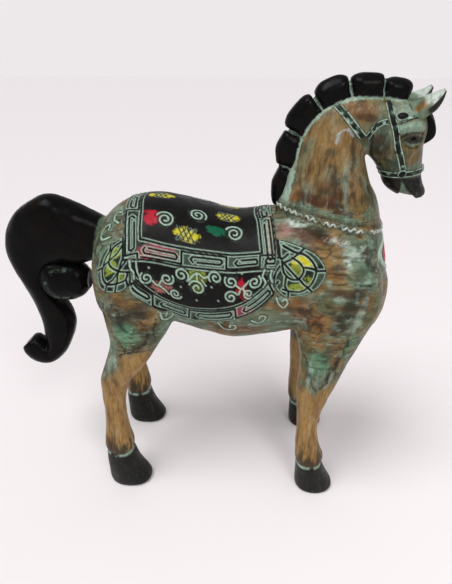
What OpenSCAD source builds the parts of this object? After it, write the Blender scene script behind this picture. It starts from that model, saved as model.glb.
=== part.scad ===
// Standing parade horse, carved in wood and assembled with glued dowels.
// It faces +X, its right side is -Y, and the four soles rest on z = 0.

/* [Overall size] */
// Height from the ground to the top of the mane
total_h = 500; // [300:10:700]
// Length from the curl of the tail to the front of the head
total_l = 472; // [300:1:640]
// Width across the barrel
barrel_w = 140; // [100:2:190]

/* [Mane, tail and ears] */
// Thickness of the mane board at the crest
mane_t = 26; // [18:1:32]
// Number of rounded lobes along the mane board
mane_lobes = 6; // [4:1:8]
// Height of one mane lobe above the crest
mane_rise = 17.8; // [12:0.1:22]
// Width of the tail at its thickest place
tail_w = 50; // [38:1:60]
// Width of one ear
ear_w = 18; // [12:0.5:22]

/* [Dowels] */
// Diameter of the two dowels in the neck joint
neck_dowel_d = 14; // [8:0.5:18]
// Diameter of the dowel in each leg joint
leg_dowel_d = 12; // [6:0.5:14]
// Diameter of the dowel in the tail joint
tail_dowel_d = 12; // [6:0.5:16]
// Diameter of the dowels under the mane board
mane_dowel_d = 6; // [3:0.5:8]
// Diameter of the peg in each ear
ear_peg_d = 4; // [2:0.5:5]
// Depth of each bore on either side of a body joint
bore_depth = 26; // [14:1:32]
// Glue gap round a dowel, on the radius
glue_gap = 0.1; // [0.05:0.05:0.3]

/* [Hidden] */
$fn = 32;
// the ribs below are drawn for a horse 472 long, 140 wide at the barrel and 500 high
kx = total_l / 472;
ky = barrel_w / 140;
kz = total_h / 500;
mid_x = -24.3;        // the drawn middle of the length, moved to x = 0

wood = [0.66, 0.52, 0.36];
mint = [0.47, 0.66, 0.56];
black = [0.09, 0.10, 0.10];
beech = [0.82, 0.68, 0.48];

// ---------------------------------------------------------------- lofting
// A rib is [top x, top z, bottom x, bottom z, half width, middle y, taper]:
// a closed oval standing in a plane square to the XZ plane. A positive taper
// makes its top narrower than its bottom.

function at(x, y, z) = [(x - mid_x) * kx, y * ky, z * kz];

function signed_pow(v, e) = sign(v) * pow(abs(v), e);

function oval(r, n, sq) = [
    for (i = [0:n - 1])
        let (c = signed_pow(cos(360 * i / n), sq), s = signed_pow(sin(360 * i / n), sq))
        at((r[0] + r[2]) / 2 + c * (r[0] - r[2]) / 2,
           r[5] + s * r[4] * (1 - r[6] * c),
           (r[1] + r[3]) / 2 + c * (r[1] - r[3]) / 2)
];

function curve(a, b, c, d, t) =
    0.5 * (2 * b + (c - a) * t + (2 * a - 5 * b + 4 * c - d) * t * t
           + (3 * b - a - 3 * c + d) * t * t * t);

// ribs with `steps` smooth ones put in for every gap between two drawn ones
function faired(ribs, steps) = [
    for (i = [0:len(ribs) - 2], j = [0:steps - 1])
        curve(ribs[max(i - 1, 0)], ribs[i], ribs[i + 1],
              ribs[min(i + 2, len(ribs) - 1)], j / steps),
    ribs[len(ribs) - 1]
];

function middle(r) = [(r[0] + r[2]) / 2, (r[1] + r[3]) / 2];

module loft(ribs, steps = 2, n = 20, sq = 0.9) {
    rs = faired(ribs, steps);
    m = len(rs);
    up = [rs[0][0] - rs[0][2], rs[0][1] - rs[0][3]];
    go = middle(rs[1]) - middle(rs[0]);
    out = up[0] * go[1] - up[1] * go[0] > 0;     // which way the ribs follow on
    pts = [for (r = rs) each oval(r, n, sq)];
    side = [
        for (i = [0:m - 2], j = [0:n - 1])
            let (a = i * n + j, b = i * n + (j + 1) % n)
            each [[b + n, b, a], [a + n, b + n, a]]
    ];
    faces = concat(side, [[for (j = [0:n - 1]) j]],
                   [[for (j = [n - 1:-1:0]) (m - 1) * n + j]]);
    polyhedron(pts, out ? faces : [for (f = faces) [for (k = [len(f) - 1:-1:0]) f[k]]]);
}

// joined carved forms, taken together as one faceted skin
module carved() resize([0, 0, 0]) union() children();

module both_sides() {
    children();
    mirror([0, 1, 0]) children();
}

// a rib lying level at height z, from its back x to its front x
function level(z, xb, xf, y, hw, taper = 0) = [xf, z, xb, z, hw, y, taper];

// ---------------------------------------------------------- shared joints
neck_seat = [59, 379.5, 171, 357.5, 44, 0, 0.25];
tail_seat = [-131.5, 352.5, -145, 303, 21, 0, 0];
fore_seat = level(203.5, 93.5, 148.5, -50, 22);
hind_seat = level(220, -127, -69.5, -48, 24);

// ------------------------------------------------------------------ trunk
barrel_ribs = [
    [-142, 318, -145, 266, 20, 0, 0],
    [-138, 338, -142, 248, 42, 0, 0.05],
    [-127, 356, -133, 236, 56, 0, 0.08],
    [-108, 371, -112, 230, 64, 0, 0.05],
    [-84, 378, -86, 231, 67, 0, 0.03],
    [-58, 378, -59, 232, 67, 0, 0],
    [-22, 370, -22, 221, 68, 0, 0],
    [17, 361, 16, 213, 70, 0, 0],
    [52, 365, 53, 218, 69, 0, 0],
    [90, 372, 90, 225, 66, 0, 0.05],
    [127, 366, 127, 219, 60, 0, 0.05],
    [156, 349, 156, 215, 50, 0, 0],
    [178, 321, 177, 222, 36, 0, 0],
    [190, 291, 189, 240, 18, 0, 0]
];
breast_ribs = [
    [88, 300, 188, 270, 44, 0, 0],
    [78, 330, 186, 297, 52, 0, 0.05],
    [68, 354, 180, 324, 53, 0, 0.12],
    [62, 368, 175, 343, 50, 0, 0.2],
    neck_seat
];
dock_ribs = [
    [-104.5, 345.5, -117, 291.5, 26, 0, 0],
    tail_seat
];
shoulder_ribs = [
    level(345, 107, 152.5, -26, 16),
    level(314, 92.5, 171, -35, 27),
    level(275.5, 86, 176.5, -41, 29),
    level(239, 87, 163, -46, 26),
    fore_seat
];
haunch_ribs = [
    level(351, -117.5, -80, -26, 16),
    level(322, -130, -61.5, -36, 27),
    level(287, -134, -51, -42, 30),
    level(251.5, -130, -51, -46, 28),
    hind_seat
];

// the half of space over the neck joint (side 1) or under it (side -1)
module neck_seat_half(side) {
    a = at(neck_seat[0], 0, neck_seat[1]);
    b = at(neck_seat[2], 0, neck_seat[3]);
    translate(a) rotate([0, -atan2(b[2] - a[2], b[0] - a[0]), 0])
        translate([-150 * kx, -80 * ky, side > 0 ? 0 : -100 * kz])
            cube([400 * kx, 160 * ky, 100 * kz]);
}

// the flat that the root of the tail sits on
module tail_flat() {
    a = at(tail_seat[0], 0, tail_seat[1]);
    b = at(tail_seat[2], 0, tail_seat[3]);
    translate(b) rotate([0, atan2(a[0] - b[0], a[2] - b[2]), 0])
        translate([-12, -(tail_seat[4] + 0.5) * ky, -0.5])
            cube([12, (2 * tail_seat[4] + 1) * ky, norm(a - b) + 1]);
}

module trunk_form() carved() difference() {
    union() {
        loft(barrel_ribs, 2, 24, 0.92);
        loft(breast_ribs, 2, 24);
        loft(dock_ribs, 1, 16);
        both_sides() {
            loft(shoulder_ribs, 2, 16);
            loft(haunch_ribs, 2, 16);
        }
    }
    neck_seat_half(1);
    tail_flat();
}

// ----------------------------------------------------------- neck and head
neck_ribs = [
    [56.6, 370.8, 174.6, 344, 47.6, 0, 0.25],      // below the joint, which cuts it off
    [63, 394, 165, 380, 38, 0, 0.25],
    [70.5, 418, 154.5, 399, 32, 0, 0.25],
    [80, 445, 148, 417, 27, 0, 0.15],
    [96, 469.5, 146, 425, 24, 0, 0.05],
    [122, 482, 148, 426, 23, 0, 0],
    [150, 482, 152, 423, 24, 0, -0.05],
    [174, 480, 156, 419, 26, 0, -0.1],
    [194, 470, 160, 414, 26, 0, -0.1],
    [202, 453, 163, 410, 25, 0, 0],
    [202, 435, 166, 404, 22, 0, 0.1],
    [204, 419, 169, 397, 19, 0, 0.05],
    [206, 406, 175, 391, 17.5, 0, 0],
    [209.5, 394, 186, 385, 15.5, 0, 0],
    [209, 386, 194, 382, 12, 0, 0]
];

// the crest is followed by a curve; each lobe stands square to it
crest = [[67, 376], [72, 411.5], [79, 444], [98, 469.5], [125, 481.5], [154, 482.5],
         [176.5, 480]];

function crest_at(t) =
    let (s = min(max(t, 0), 0.9999) * (len(crest) - 1), i = floor(s))
    curve(crest[max(i - 1, 0)], crest[i], crest[i + 1],
          crest[min(i + 2, len(crest) - 1)], s - i);

function crest_turn(t) =
    let (d = crest_at(t + 0.01) - crest_at(t - 0.01)) d / norm(d);

land_depth = 3;                 // how far the mane's seat is cut into the crest
seat_flats = 3 * mane_lobes;    // three flats to a lobe, so that each pin meets one flat only

// all that lies outside the seat of the mane, as one broad slab
module beyond_crest()
    rotate([90, 0, 0]) linear_extrude(height = 60 * ky, center = true)
        polygon(concat(
            [for (i = [0:seat_flats + 1]) seat_point(min((i - 0.15) / seat_flats, 1), -land_depth)],
            [for (i = [seat_flats:-3:0]) seat_point(i / seat_flats, 34)]));

function seat_point(t, h) =
    let (c = crest_at(t), a = crest_turn(t), p = at(c[0] - a[1] * h, 0, c[1] + a[0] * h))
    [p[0], p[2]];

module neck_head_form() carved() {
    difference() {
        loft(neck_ribs, 2, 20, 0.9);
        beyond_crest();
        neck_seat_half(-1);
    }
    both_sides() {
        // cheek and the brow over the eye
        translate(at(167, -16, 436)) scale([19 * kx, 11 * ky, 21 * kz]) sphere(1, $fn = 14);
        translate(at(187, -20, 446)) scale([9 * kx, 6 * ky, 7 * kz]) sphere(1, $fn = 12);
    }
}

// ------------------------------------------------------------------- mane
module mane_lobe(t0, t1) {
    t = (t0 + t1) / 2;
    along = crest_turn(t);
    up = [-along[1], along[0]];
    half = norm(crest_at(t1) - crest_at(t0)) / 2;
    c = crest_at(t);
    rise = mane_rise * (0.7 + 0.36 * sin(180 * t));     // tallest in the middle
    // ribs run from the root inside the neck to the rounded outer edge
    loft([for (q = [[-0.4, 0.96, 0.9], [0, 1, 1], [0.45, 1.04, 0.94], [0.78, 0.86, 0.8],
                    [0.95, 0.58, 0.56], [1, 0.3, 0.3]])
             let (p = c + up * q[0] * rise, w = along * half * q[1])
             [p[0] + w[0], p[1] + w[1], p[0] - w[0], p[1] - w[1], mane_t / 2 * q[2], 0, 0]],
         1, 18, 0.8);
}

// the low strip that joins the roots of the lobes
module mane_root()
    loft([for (i = [0:12])
             let (t = 0.01 + i * 0.98 / 12, c = crest_at(t), a = crest_turn(t), up = [-a[1], a[0]],
                  o = c + up * 0.24 * mane_rise, q = c - up * 0.3 * mane_rise)
             [o[0], o[1], q[0], q[1], mane_t * 0.42, 0, 0]],
         1, 12, 0.7);

module mane_form() resize([0, 0, 0]) difference() {
    intersection() {
        beyond_crest();
        union() {
            mane_root();
            for (i = [0:mane_lobes - 1]) mane_lobe(i / mane_lobes, (i + 1) / mane_lobes);
        }
    }
    neck_seat_half(-1);
}

// ------------------------------------------------------- forelock and ears
module forelock_form() resize([0, 0, 0]) difference() {
    loft([[192, 477, 186, 466, 8, 0, 0], [203, 467, 192, 460, 11, 0, 0],
          [210, 454, 195, 450, 12, 0, 0], [211, 445, 196, 442, 10, 0, 0],
          [204, 437, 197, 436, 5, 0, 0]], 2, 16);
    loft(neck_ribs, 2, 20, 0.9);
}

module ear_form() resize([0, 0, 0]) difference() {
    loft([[177, 476, 187, 457, ear_w * 0.32, -15, 0],
          [182, 479, 194, 464, ear_w * 0.42, -16, 0],
          [190, 483, 201, 470, ear_w * 0.48, -17, 0],
          [199, 486.5, 205.5, 477.5, ear_w * 0.34, -17.5, 0],
          [205.5, 489.5, 208, 486.5, ear_w * 0.1, -17.5, 0]], 2, 14);
    loft(neck_ribs, 2, 20, 0.9);
}

// ------------------------------------------------------------------- legs
fore_leg_ribs = [
    fore_seat,
    level(173, 92.5, 138, -54, 18),
    level(144, 93.5, 128, -56, 15),
    level(119, 95.5, 122.5, -57, 13),
    level(96, 96.5, 122.5, -58, 12.5),
    level(73, 96.5, 127.5, -58, 14),
    level(56, 97.5, 133, -58, 16),
    level(48, 99, 132.5, -58, 15.7),
    level(44.5, 100.5, 130.5, -58, 15),
    level(41, 100, 133, -58, 16.5),
    level(24, 100, 140, -58, 18),
    level(7, 100.5, 149, -58, 19.5),
    level(2, 102, 148.5, -58, 19.2),
    level(0, 104, 146, -58, 18)
];
hind_leg_ribs = [
    hind_seat,
    level(193, -135, -87, -54, 20),
    level(171, -142.5, -105, -56, 16),
    level(146, -143.5, -114.5, -57, 13.5),
    level(117, -143.5, -117.5, -58, 12.5),
    level(90, -146.5, -115.5, -58, 13.5),
    level(69, -149.5, -112.5, -58, 16),
    level(60, -149, -113.5, -58, 15.8),
    level(55.5, -147, -115.5, -58, 15.2),
    level(51, -149, -112.5, -58, 16.6),
    level(30, -149.5, -106, -58, 18.5),
    level(8, -149, -94, -58, 20),
    level(2, -147.5, -94.5, -58, 19.6),
    level(0, -145.5, -97, -58, 18.3)
];

// ------------------------------------------------------------------- tail
// [outer x, outer z, inner x, inner z, half width as a share of the widest]
tail_line = [
    [-147, 361, -155.5, 299.5, 0.9], [-167, 371, -167, 296.5, 0.97],
    [-191.5, 378.5, -181.5, 297.5, 1], [-216.5, 369, -196, 293.5, 1],
    [-237.5, 350.5, -205, 283, 0.96], [-247.5, 324.5, -207.5, 268.5, 0.9],
    [-246.5, 297.5, -202, 252, 0.82], [-239.5, 270.5, -191.5, 235.5, 0.74],
    [-231, 243.5, -186.5, 221, 0.7], [-227, 219, -187.5, 204.5, 0.68],
    [-227, 198, -195, 184.5, 0.66], [-225, 183.5, -206, 166, 0.66],
    [-226, 177.5, -219.5, 153.5, 0.66], [-229, 178.5, -235, 149.5, 0.66],
    [-233, 184.5, -249.5, 152.5, 0.64], [-238.5, 189, -258, 164, 0.6],
    [-245.5, 188, -260, 173.5, 0.5]
];
tail_ribs = concat([tail_seat],
    [for (q = tail_line) [q[0], q[1], q[2], q[3], q[4] * tail_w / 2, 0, 0]]);

module tail_curl_form() resize([0, 0, 0]) difference() {
    loft([[-212.5, 304, -214.5, 258, 14, -4, 0], [-198, 305, -198, 250, 21, -5, 0],
          [-179.5, 300.5, -179.5, 251, 21, -5, 0], [-165, 296.5, -165, 257, 19, -5, 0],
          [-156.5, 288.5, -156.5, 266.5, 12, -5, 0]], 2, 18);
    loft(tail_ribs, 2, 18, 0.86);
}

// ----------------------------------------------------------------- dowels
// each entry: [point on the joint, direction into the outer piece, lower depth, upper depth]
function across(seat) =                       // unit normal of a seat, in true size
    let (a = at(seat[0], 0, seat[1]) - at(seat[2], 0, seat[3]), l = norm(a))
    [-a[2] / l, 0, a[0] / l];
function along_seat(seat, f) =
    at(seat[2] + (seat[0] - seat[2]) * f, 0, seat[3] + (seat[1] - seat[3]) * f);

neck_pins = [for (f = [0.3, 0.7]) [along_seat(neck_seat, f), -across(neck_seat)]];
tail_pin = [along_seat(tail_seat, 0.5), across(tail_seat)];
fore_pin = [at(118, -51, fore_seat[1]), [0, 0, -1]];
hind_pin = [at(-105, -50, hind_seat[1]), [0, 0, -1]];
function crest_pin(t) =
    let (p = crest_at(t), a = crest_turn(t)) [at(p[0], 0, p[1]), [-a[1] * kx, 0, a[0] * kz]];
mane_pins = [for (i = [0:mane_lobes - 1]) if (i % 2 == 0) crest_pin((i + 0.5) / mane_lobes)];
curl_pin = [at(-194, -4, 278), [0.96, 0, 0.28]];
ear_pin = [at(189.5, -16.2, 469.5), [0.62, 0, 0.78]];

// a round pin through p along v, reaching `back` behind p and `fore` beyond it
module pin(p, v, d, back, fore)
    translate(p) rotate([0, acos(v[2] / norm(v)), atan2(v[1], v[0])])
        translate([0, 0, -back]) cylinder(d = d, h = back + fore);

module body_bore(q, d) pin(q[0], q[1], d + 2 * glue_gap, bore_depth, bore_depth);

// ------------------------------------------------------------------ nodes
module trunk() color(mint) difference() {
    trunk_form();
    for (q = neck_pins) body_bore(q, neck_dowel_d);
    body_bore(tail_pin, tail_dowel_d);
    both_sides() {
        body_bore(fore_pin, leg_dowel_d);
        body_bore(hind_pin, leg_dowel_d);
    }
}

module neck_head() color(wood) difference() {
    neck_head_form();
    for (q = neck_pins) body_bore(q, neck_dowel_d);
    for (q = mane_pins) pin(q[0], q[1], mane_dowel_d + 2 * glue_gap, 16, 9);
    both_sides() pin(ear_pin[0], ear_pin[1], ear_peg_d + 2 * glue_gap, 7, 8);
}

module mane() color(black) difference() {
    mane_form();
    for (q = mane_pins) pin(q[0], q[1], mane_dowel_d + 2 * glue_gap, 16, 9);
}

module forelock() color(black) forelock_form();

module ear() difference() {
    ear_form();
    pin(ear_pin[0], ear_pin[1], ear_peg_d + 2 * glue_gap, 7, 8);
}
module ear_right() color(mint) ear();
module ear_left() color(mint) mirror([0, 1, 0]) ear();

module leg(ribs, q) difference() {
    loft(ribs, 2, 16, 0.88);
    body_bore(q, leg_dowel_d);
}
module leg_front_right() color(wood) leg(fore_leg_ribs, fore_pin);
module leg_front_left() color(wood) mirror([0, 1, 0]) leg(fore_leg_ribs, fore_pin);
module leg_hind_right() color(wood) leg(hind_leg_ribs, hind_pin);
module leg_hind_left() color(wood) mirror([0, 1, 0]) leg(hind_leg_ribs, hind_pin);

module tail() color(black) difference() {
    loft(tail_ribs, 2, 18, 0.86);
    body_bore(tail_pin, tail_dowel_d);
    pin(curl_pin[0], curl_pin[1], mane_dowel_d + 2 * glue_gap, 14, 20);
}
module tail_curl() color(black) difference() {
    tail_curl_form();
    pin(curl_pin[0], curl_pin[1], mane_dowel_d + 2 * glue_gap, 14, 20);
}

module neck_dowels() color(beech)
    for (q = neck_pins) pin(q[0], q[1], neck_dowel_d, bore_depth, bore_depth);
module leg_dowels() color(beech) both_sides() {
    pin(fore_pin[0], fore_pin[1], leg_dowel_d, bore_depth, bore_depth);
    pin(hind_pin[0], hind_pin[1], leg_dowel_d, bore_depth, bore_depth);
}
module tail_dowel() color(beech)
    pin(tail_pin[0], tail_pin[1], tail_dowel_d, bore_depth, bore_depth);
module mane_dowels() color(beech)
    for (q = mane_pins) pin(q[0], q[1], mane_dowel_d, 16, 9);
module curl_dowel() color(beech) pin(curl_pin[0], curl_pin[1], mane_dowel_d, 14, 20);
module ear_pegs() color(beech) both_sides() pin(ear_pin[0], ear_pin[1], ear_peg_d, 7, 8);

trunk();
neck_head();
mane();
forelock();
ear_right();
ear_left();
leg_front_right();
leg_front_left();
leg_hind_right();
leg_hind_left();
tail();
tail_curl();
neck_dowels();
leg_dowels();
tail_dowel();
mane_dowels();
curl_dowel();
ear_pegs();
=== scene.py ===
# Carved and painted parade horse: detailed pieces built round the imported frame.
# Shapes are worked out in millimetres in the frame's own axes and scaled at the end.
import math

import bmesh
import bpy
import numpy as np
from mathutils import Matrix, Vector
from mathutils.bvhtree import BVHTree


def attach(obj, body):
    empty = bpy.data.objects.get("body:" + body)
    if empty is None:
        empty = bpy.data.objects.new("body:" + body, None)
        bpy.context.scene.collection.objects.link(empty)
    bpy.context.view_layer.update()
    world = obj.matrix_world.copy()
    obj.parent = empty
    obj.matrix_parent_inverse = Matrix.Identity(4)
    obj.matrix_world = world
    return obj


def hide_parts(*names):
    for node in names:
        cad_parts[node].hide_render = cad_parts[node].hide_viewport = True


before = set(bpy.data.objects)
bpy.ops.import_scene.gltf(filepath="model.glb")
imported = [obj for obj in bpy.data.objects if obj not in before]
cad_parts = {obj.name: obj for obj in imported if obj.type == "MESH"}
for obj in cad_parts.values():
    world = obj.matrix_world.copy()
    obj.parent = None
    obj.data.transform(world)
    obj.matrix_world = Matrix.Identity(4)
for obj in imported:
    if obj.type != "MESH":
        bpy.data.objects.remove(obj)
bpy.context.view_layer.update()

MM = 0.001
MID = -24.3             # the x in the tables below that lies at the frame's x = 0
SIDES = ((-1, "right"), (1, "left"))


# ------------------------------------------------------------------ camera
def aim(ob, way):
    """Turn a camera or a lamp to look along `way`."""
    ob.rotation_mode = "QUATERNION"
    ob.rotation_quaternion = Vector(way).to_track_quat("-Z", "Y")


PITCH, YAW = math.radians(29.4), 0.048
CAMERA_AT, LENS_MM, SHIFT_UP = (0.05285, -0.4851, 0.53676), 28.6, -0.0034
cam_data = bpy.data.cameras.new("camera")
cam_data.lens, cam_data.shift_y, cam_data.clip_start = LENS_MM, SHIFT_UP, 0.01
camera = bpy.data.objects.new("camera", cam_data)
camera.location = CAMERA_AT
aim(camera, (-math.sin(YAW) * math.cos(PITCH), math.cos(YAW) * math.cos(PITCH), -math.sin(PITCH)))
bpy.context.scene.collection.objects.link(camera)
bpy.context.scene.camera = camera
bpy.context.scene.view_settings.view_transform = "Standard"


# ------------------------------------------------------------------- ribs
# A rib is one end's x and z, the other end's x and z, its half width, its middle's y, and how much
# narrower it is at the first end.
def level(z, xb, xf, y, hw):
    """A level rib of a leg, from xb at the back to xf at the front."""
    return [xf, z, xb, z, hw, y, 0]


NECK_SEAT = [59, 379.5, 171, 357.5, 44, 0, 0.25]
TAIL_SEAT = [-131.5, 352.5, -145, 303, 21, 0, 0]
FORE_Z, HIND_Z = 203.5, 220
FORE_SEAT = level(FORE_Z, 93.5, 148.5, -50, 22)
HIND_SEAT = level(HIND_Z, -127, -69.5, -48, 24)
BARREL = [[-142, 318, -145, 266, 20, 0, 0], [-138, 338, -142, 248, 42, 0, 0.05],
          [-127, 356, -133, 236, 56, 0, 0.08], [-108, 371, -112, 230, 64, 0, 0.05],
          [-84, 378, -86, 231, 67, 0, 0.03], [-58, 378, -59, 232, 67, 0, 0],
          [-22, 370, -22, 221, 68, 0, 0], [17, 361, 16, 213, 70, 0, 0],
          [52, 365, 53, 218, 69, 0, 0], [90, 372, 90, 225, 66, 0, 0.05],
          [127, 366, 127, 219, 60, 0, 0.05], [156, 349, 156, 215, 50, 0, 0],
          [178, 321, 177, 222, 36, 0, 0], [190, 291, 189, 240, 18, 0, 0]]
BREAST = [[88, 300, 188, 270, 44, 0, 0], [78, 330, 186, 297, 52, 0, 0.05],
          [68, 354, 180, 324, 53, 0, 0.12], [62, 368, 175, 343, 50, 0, 0.2],
          NECK_SEAT, [63, 394, 165, 380, 38, 0, 0.25]]
DOCK = [[-104.5, 345.5, -117, 291.5, 26, 0, 0], TAIL_SEAT, [-147, 361, -155.5, 299.5, 21.5, 0, 0]]
SHOULDER = [level(345, 107, 152.5, -26, 16), level(314, 92.5, 171, -35, 27),
            level(275.5, 86, 176.5, -41, 29), level(239, 87, 163, -46, 26), FORE_SEAT]
HAUNCH = [level(351, -117.5, -80, -26, 16), level(322, -130, -61.5, -36, 27),
          level(287, -134, -51, -42, 30), level(251.5, -130, -51, -46, 28), HIND_SEAT]
FORE_LEG = [level(173, 92.5, 138, -54, 18), level(144, 93.5, 128, -56, 15),
            level(119, 95.5, 122.5, -57, 13), level(96, 96.5, 122.5, -58, 12.5),
            level(73, 96.5, 127.5, -58, 14), level(56, 97.5, 133, -58, 16),
            level(48, 99, 132.5, -58, 15.7), level(44.5, 100.5, 130.5, -58, 15),
            level(41, 100, 133, -58, 16.5), level(24, 100, 140, -58, 18),
            level(7, 100.5, 149, -58, 19.5), level(2, 102, 148.5, -58, 19.2),
            level(0, 104, 146, -58, 18)]
HIND_LEG = [level(193, -135, -87, -54, 20), level(171, -142.5, -105, -56, 16),
            level(146, -143.5, -114.5, -57, 13.5), level(117, -143.5, -117.5, -58, 12.5),
            level(90, -146.5, -115.5, -58, 13.5), level(69, -149.5, -112.5, -58, 16),
            level(60, -149, -113.5, -58, 15.8), level(55.5, -147, -115.5, -58, 15.2),
            level(51, -149, -112.5, -58, 16.6), level(30, -149.5, -106, -58, 18.5),
            level(8, -149, -94, -58, 20), level(2, -147.5, -94.5, -58, 19.6),
            level(0, -145.5, -97, -58, 18.3)]
NECK = [[56.6, 370.8, 174.6, 344, 47.6, 0, 0.25], [63, 394, 165, 380, 38, 0, 0.25],
        [70.5, 418, 154.5, 399, 32, 0, 0.25], [80, 445, 148, 417, 27, 0, 0.15],
        [96, 469.5, 146, 425, 24, 0, 0.05], [122, 482, 148, 426, 23, 0, 0],
        [150, 482, 152, 423, 24, 0, -0.05], [174, 480, 156, 419, 26, 0, -0.1],
        [194, 470, 160, 414, 26, 0, -0.1], [202, 453, 163, 410, 25, 0, 0],
        [202, 435, 166, 404, 22, 0, 0.1], [204, 419, 169, 397, 19, 0, 0.05],
        [206, 406, 175, 391, 17.5, 0, 0], [209.5, 394, 186, 385, 15.5, 0, 0],
        [209, 386, 194, 382, 12, 0, 0]]
CREST = [[67, 376], [72, 411.5], [79, 444], [98, 469.5], [125, 481.5], [154, 482.5], [176.5, 480]]
TAIL = [[-147, 361, -155.5, 299.5, 22.5], [-167, 371, -167, 296.5, 24.25],
        [-191.5, 378.5, -181.5, 297.5, 25], [-216.5, 369, -196, 293.5, 25],
        [-237.5, 350.5, -205, 283, 24], [-247.5, 324.5, -207.5, 268.5, 22.5],
        [-246.5, 297.5, -202, 252, 20.5], [-239.5, 270.5, -191.5, 235.5, 18.5],
        [-231, 243.5, -186.5, 221, 17.5], [-227, 219, -187.5, 204.5, 17],
        [-227, 198, -195, 184.5, 16.5], [-225, 183.5, -206, 166, 16.5],
        [-226, 177.5, -219.5, 153.5, 16.5], [-229, 178.5, -235, 149.5, 16.5],
        [-233, 184.5, -249.5, 152.5, 16], [-238.5, 189, -258, 164, 15],
        [-245.5, 188, -260, 173.5, 12.5]]
TAIL = [TAIL_SEAT] + [q + [0, 0] for q in TAIL]
CURL = [[-212.5, 304, -214.5, 258, 14, -4, 0], [-198, 305, -198, 250, 21, -5, 0],
        [-179.5, 300.5, -179.5, 251, 21, -5, 0], [-165, 296.5, -165, 257, 19, -5, 0],
        [-156.5, 288.5, -156.5, 266.5, 12, -5, 0]]
EAR_W = 18
EAR = [[177, 476, 187, 457, EAR_W * 0.32, -15, 0], [182, 479, 194, 464, EAR_W * 0.42, -16, 0],
       [190, 483, 201, 470, EAR_W * 0.48, -17, 0], [199, 486.5, 205.5, 477.5, EAR_W * 0.34, -17.5, 0],
       [205.5, 489.5, 208, 486.5, EAR_W * 0.1, -17.5, 0]]
FORELOCK = [[192, 477, 186, 466, 8, 0, 0], [203, 467, 192, 460, 11, 0, 0],
            [210, 454, 195, 450, 12, 0, 0], [211, 445, 196, 442, 10, 0, 0],
            [204, 437, 197, 436, 5, 0, 0]]
MANE_T, MANE_LOBES, MANE_RISE = 26, 6, 17.8


def spline(p, t):
    """A smooth curve through the rows of p, for t from 0 to its last row's number."""
    p = np.asarray(p, float)
    i = min(int(t), len(p) - 2)
    a, b, c, d = p[max(i - 1, 0)], p[i], p[i + 1], p[min(i + 2, len(p) - 1)]
    t -= i
    return 0.5 * (2 * b + (c - a) * t + (2 * a - 5 * b + 4 * c - d) * t * t
                  + (3 * b - a - 3 * c + d) * t ** 3)


def curve_of(points, per=5):
    """A smooth line through the points, with `per` steps between two of them."""
    return np.array([spline(points, k / per) for k in range((len(points) - 1) * per + 1)])


def tube_faces(rows, n, first=0):
    """The quads between rings of n corners each, whose numbers start at `first`."""
    return [[first + i * n + j, first + i * n + (j + 1) % n,
             first + (i + 1) * n + (j + 1) % n, first + (i + 1) * n + j]
            for i in range(rows - 1) for j in range(n)]


def end_caps(rows, n):
    """The two faces that close such a tube."""
    return [list(range(n)), list(range((rows - 1) * n, rows * n))]


def loft(ribs, steps=6, n=64, sq=0.9, mirror=False):
    """A closed form through the ribs: its corners and faces, with `steps` rings from rib to rib
    and n corners in a ring; sq below 1 makes the section squarer."""
    rs = curve_of(ribs, steps)
    a = np.arange(n) * 2 * np.pi / n
    c = np.sign(np.cos(a)) * np.abs(np.cos(a)) ** sq
    s = np.sign(np.sin(a)) * np.abs(np.sin(a)) ** sq
    verts = [np.stack([(r[0] + r[2]) / 2 + c * (r[0] - r[2]) / 2 - MID,
                       r[5] + s * r[4] * (1 - r[6] * c),
                       (r[1] + r[3]) / 2 + c * (r[1] - r[3]) / 2], 1) for r in rs]
    verts = np.concatenate(verts)
    if mirror:
        verts = verts * [1, -1, 1]
    return verts, tube_faces(len(rs), n) + end_caps(len(rs), n)


# ------------------------------------------------------------- mesh helpers
def bmesh_of(verts, faces):
    me = bpy.data.meshes.new("scratch")
    me.from_pydata(np.asarray(verts).tolist(), [], [tuple(map(int, f)) for f in faces])
    bm = bmesh.new()
    bm.from_mesh(me)
    bpy.data.meshes.remove(me)
    return bm


def arrays_of(bm):
    """A bmesh's corners and faces as arrays; the bmesh is freed."""
    bm.verts.index_update()
    got = np.array([v.co for v in bm.verts]), [[v.index for v in f.verts] for f in bm.faces]
    bm.free()
    return got


def as_mesh(name, verts, faces):
    """A mesh from arrays of any unit, with its faces turned outwards."""
    me = bpy.data.meshes.new(name)
    bm = bmesh_of(verts, faces)
    bmesh.ops.recalc_face_normals(bm, faces=bm.faces)
    bm.to_mesh(me)
    bm.free()
    return me


def tree_of(verts, faces):
    return BVHTree.FromPolygons([tuple(v) for v in np.asarray(verts).tolist()],
                                [tuple(map(int, f)) for f in faces])


def unit(v):
    return v / np.linalg.norm(v)


def fuse(parts, voxel):
    """One closed skin round overlapping closed forms: its corners and its quads."""
    verts, faces, base = [], [], 0
    for v, f in parts:
        verts.append(v)
        faces += [[k + base for k in q] for q in f]
        base += len(v)
    ob = bpy.data.objects.new("fuse", as_mesh("fuse", np.concatenate(verts), faces))
    bpy.context.scene.collection.objects.link(ob)
    mod = ob.modifiers.new("skin", "REMESH")
    mod.mode, mod.voxel_size = "VOXEL", voxel
    got = ob.evaluated_get(bpy.context.evaluated_depsgraph_get()).to_mesh()
    v = np.empty(len(got.vertices) * 3)
    got.vertices.foreach_get("co", v)
    f = np.empty(len(got.loops), int)
    got.loops.foreach_get("vertex_index", f)
    bpy.data.objects.remove(ob, do_unlink=True)
    return v.reshape(-1, 3), f.reshape(-1, 4)


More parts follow.
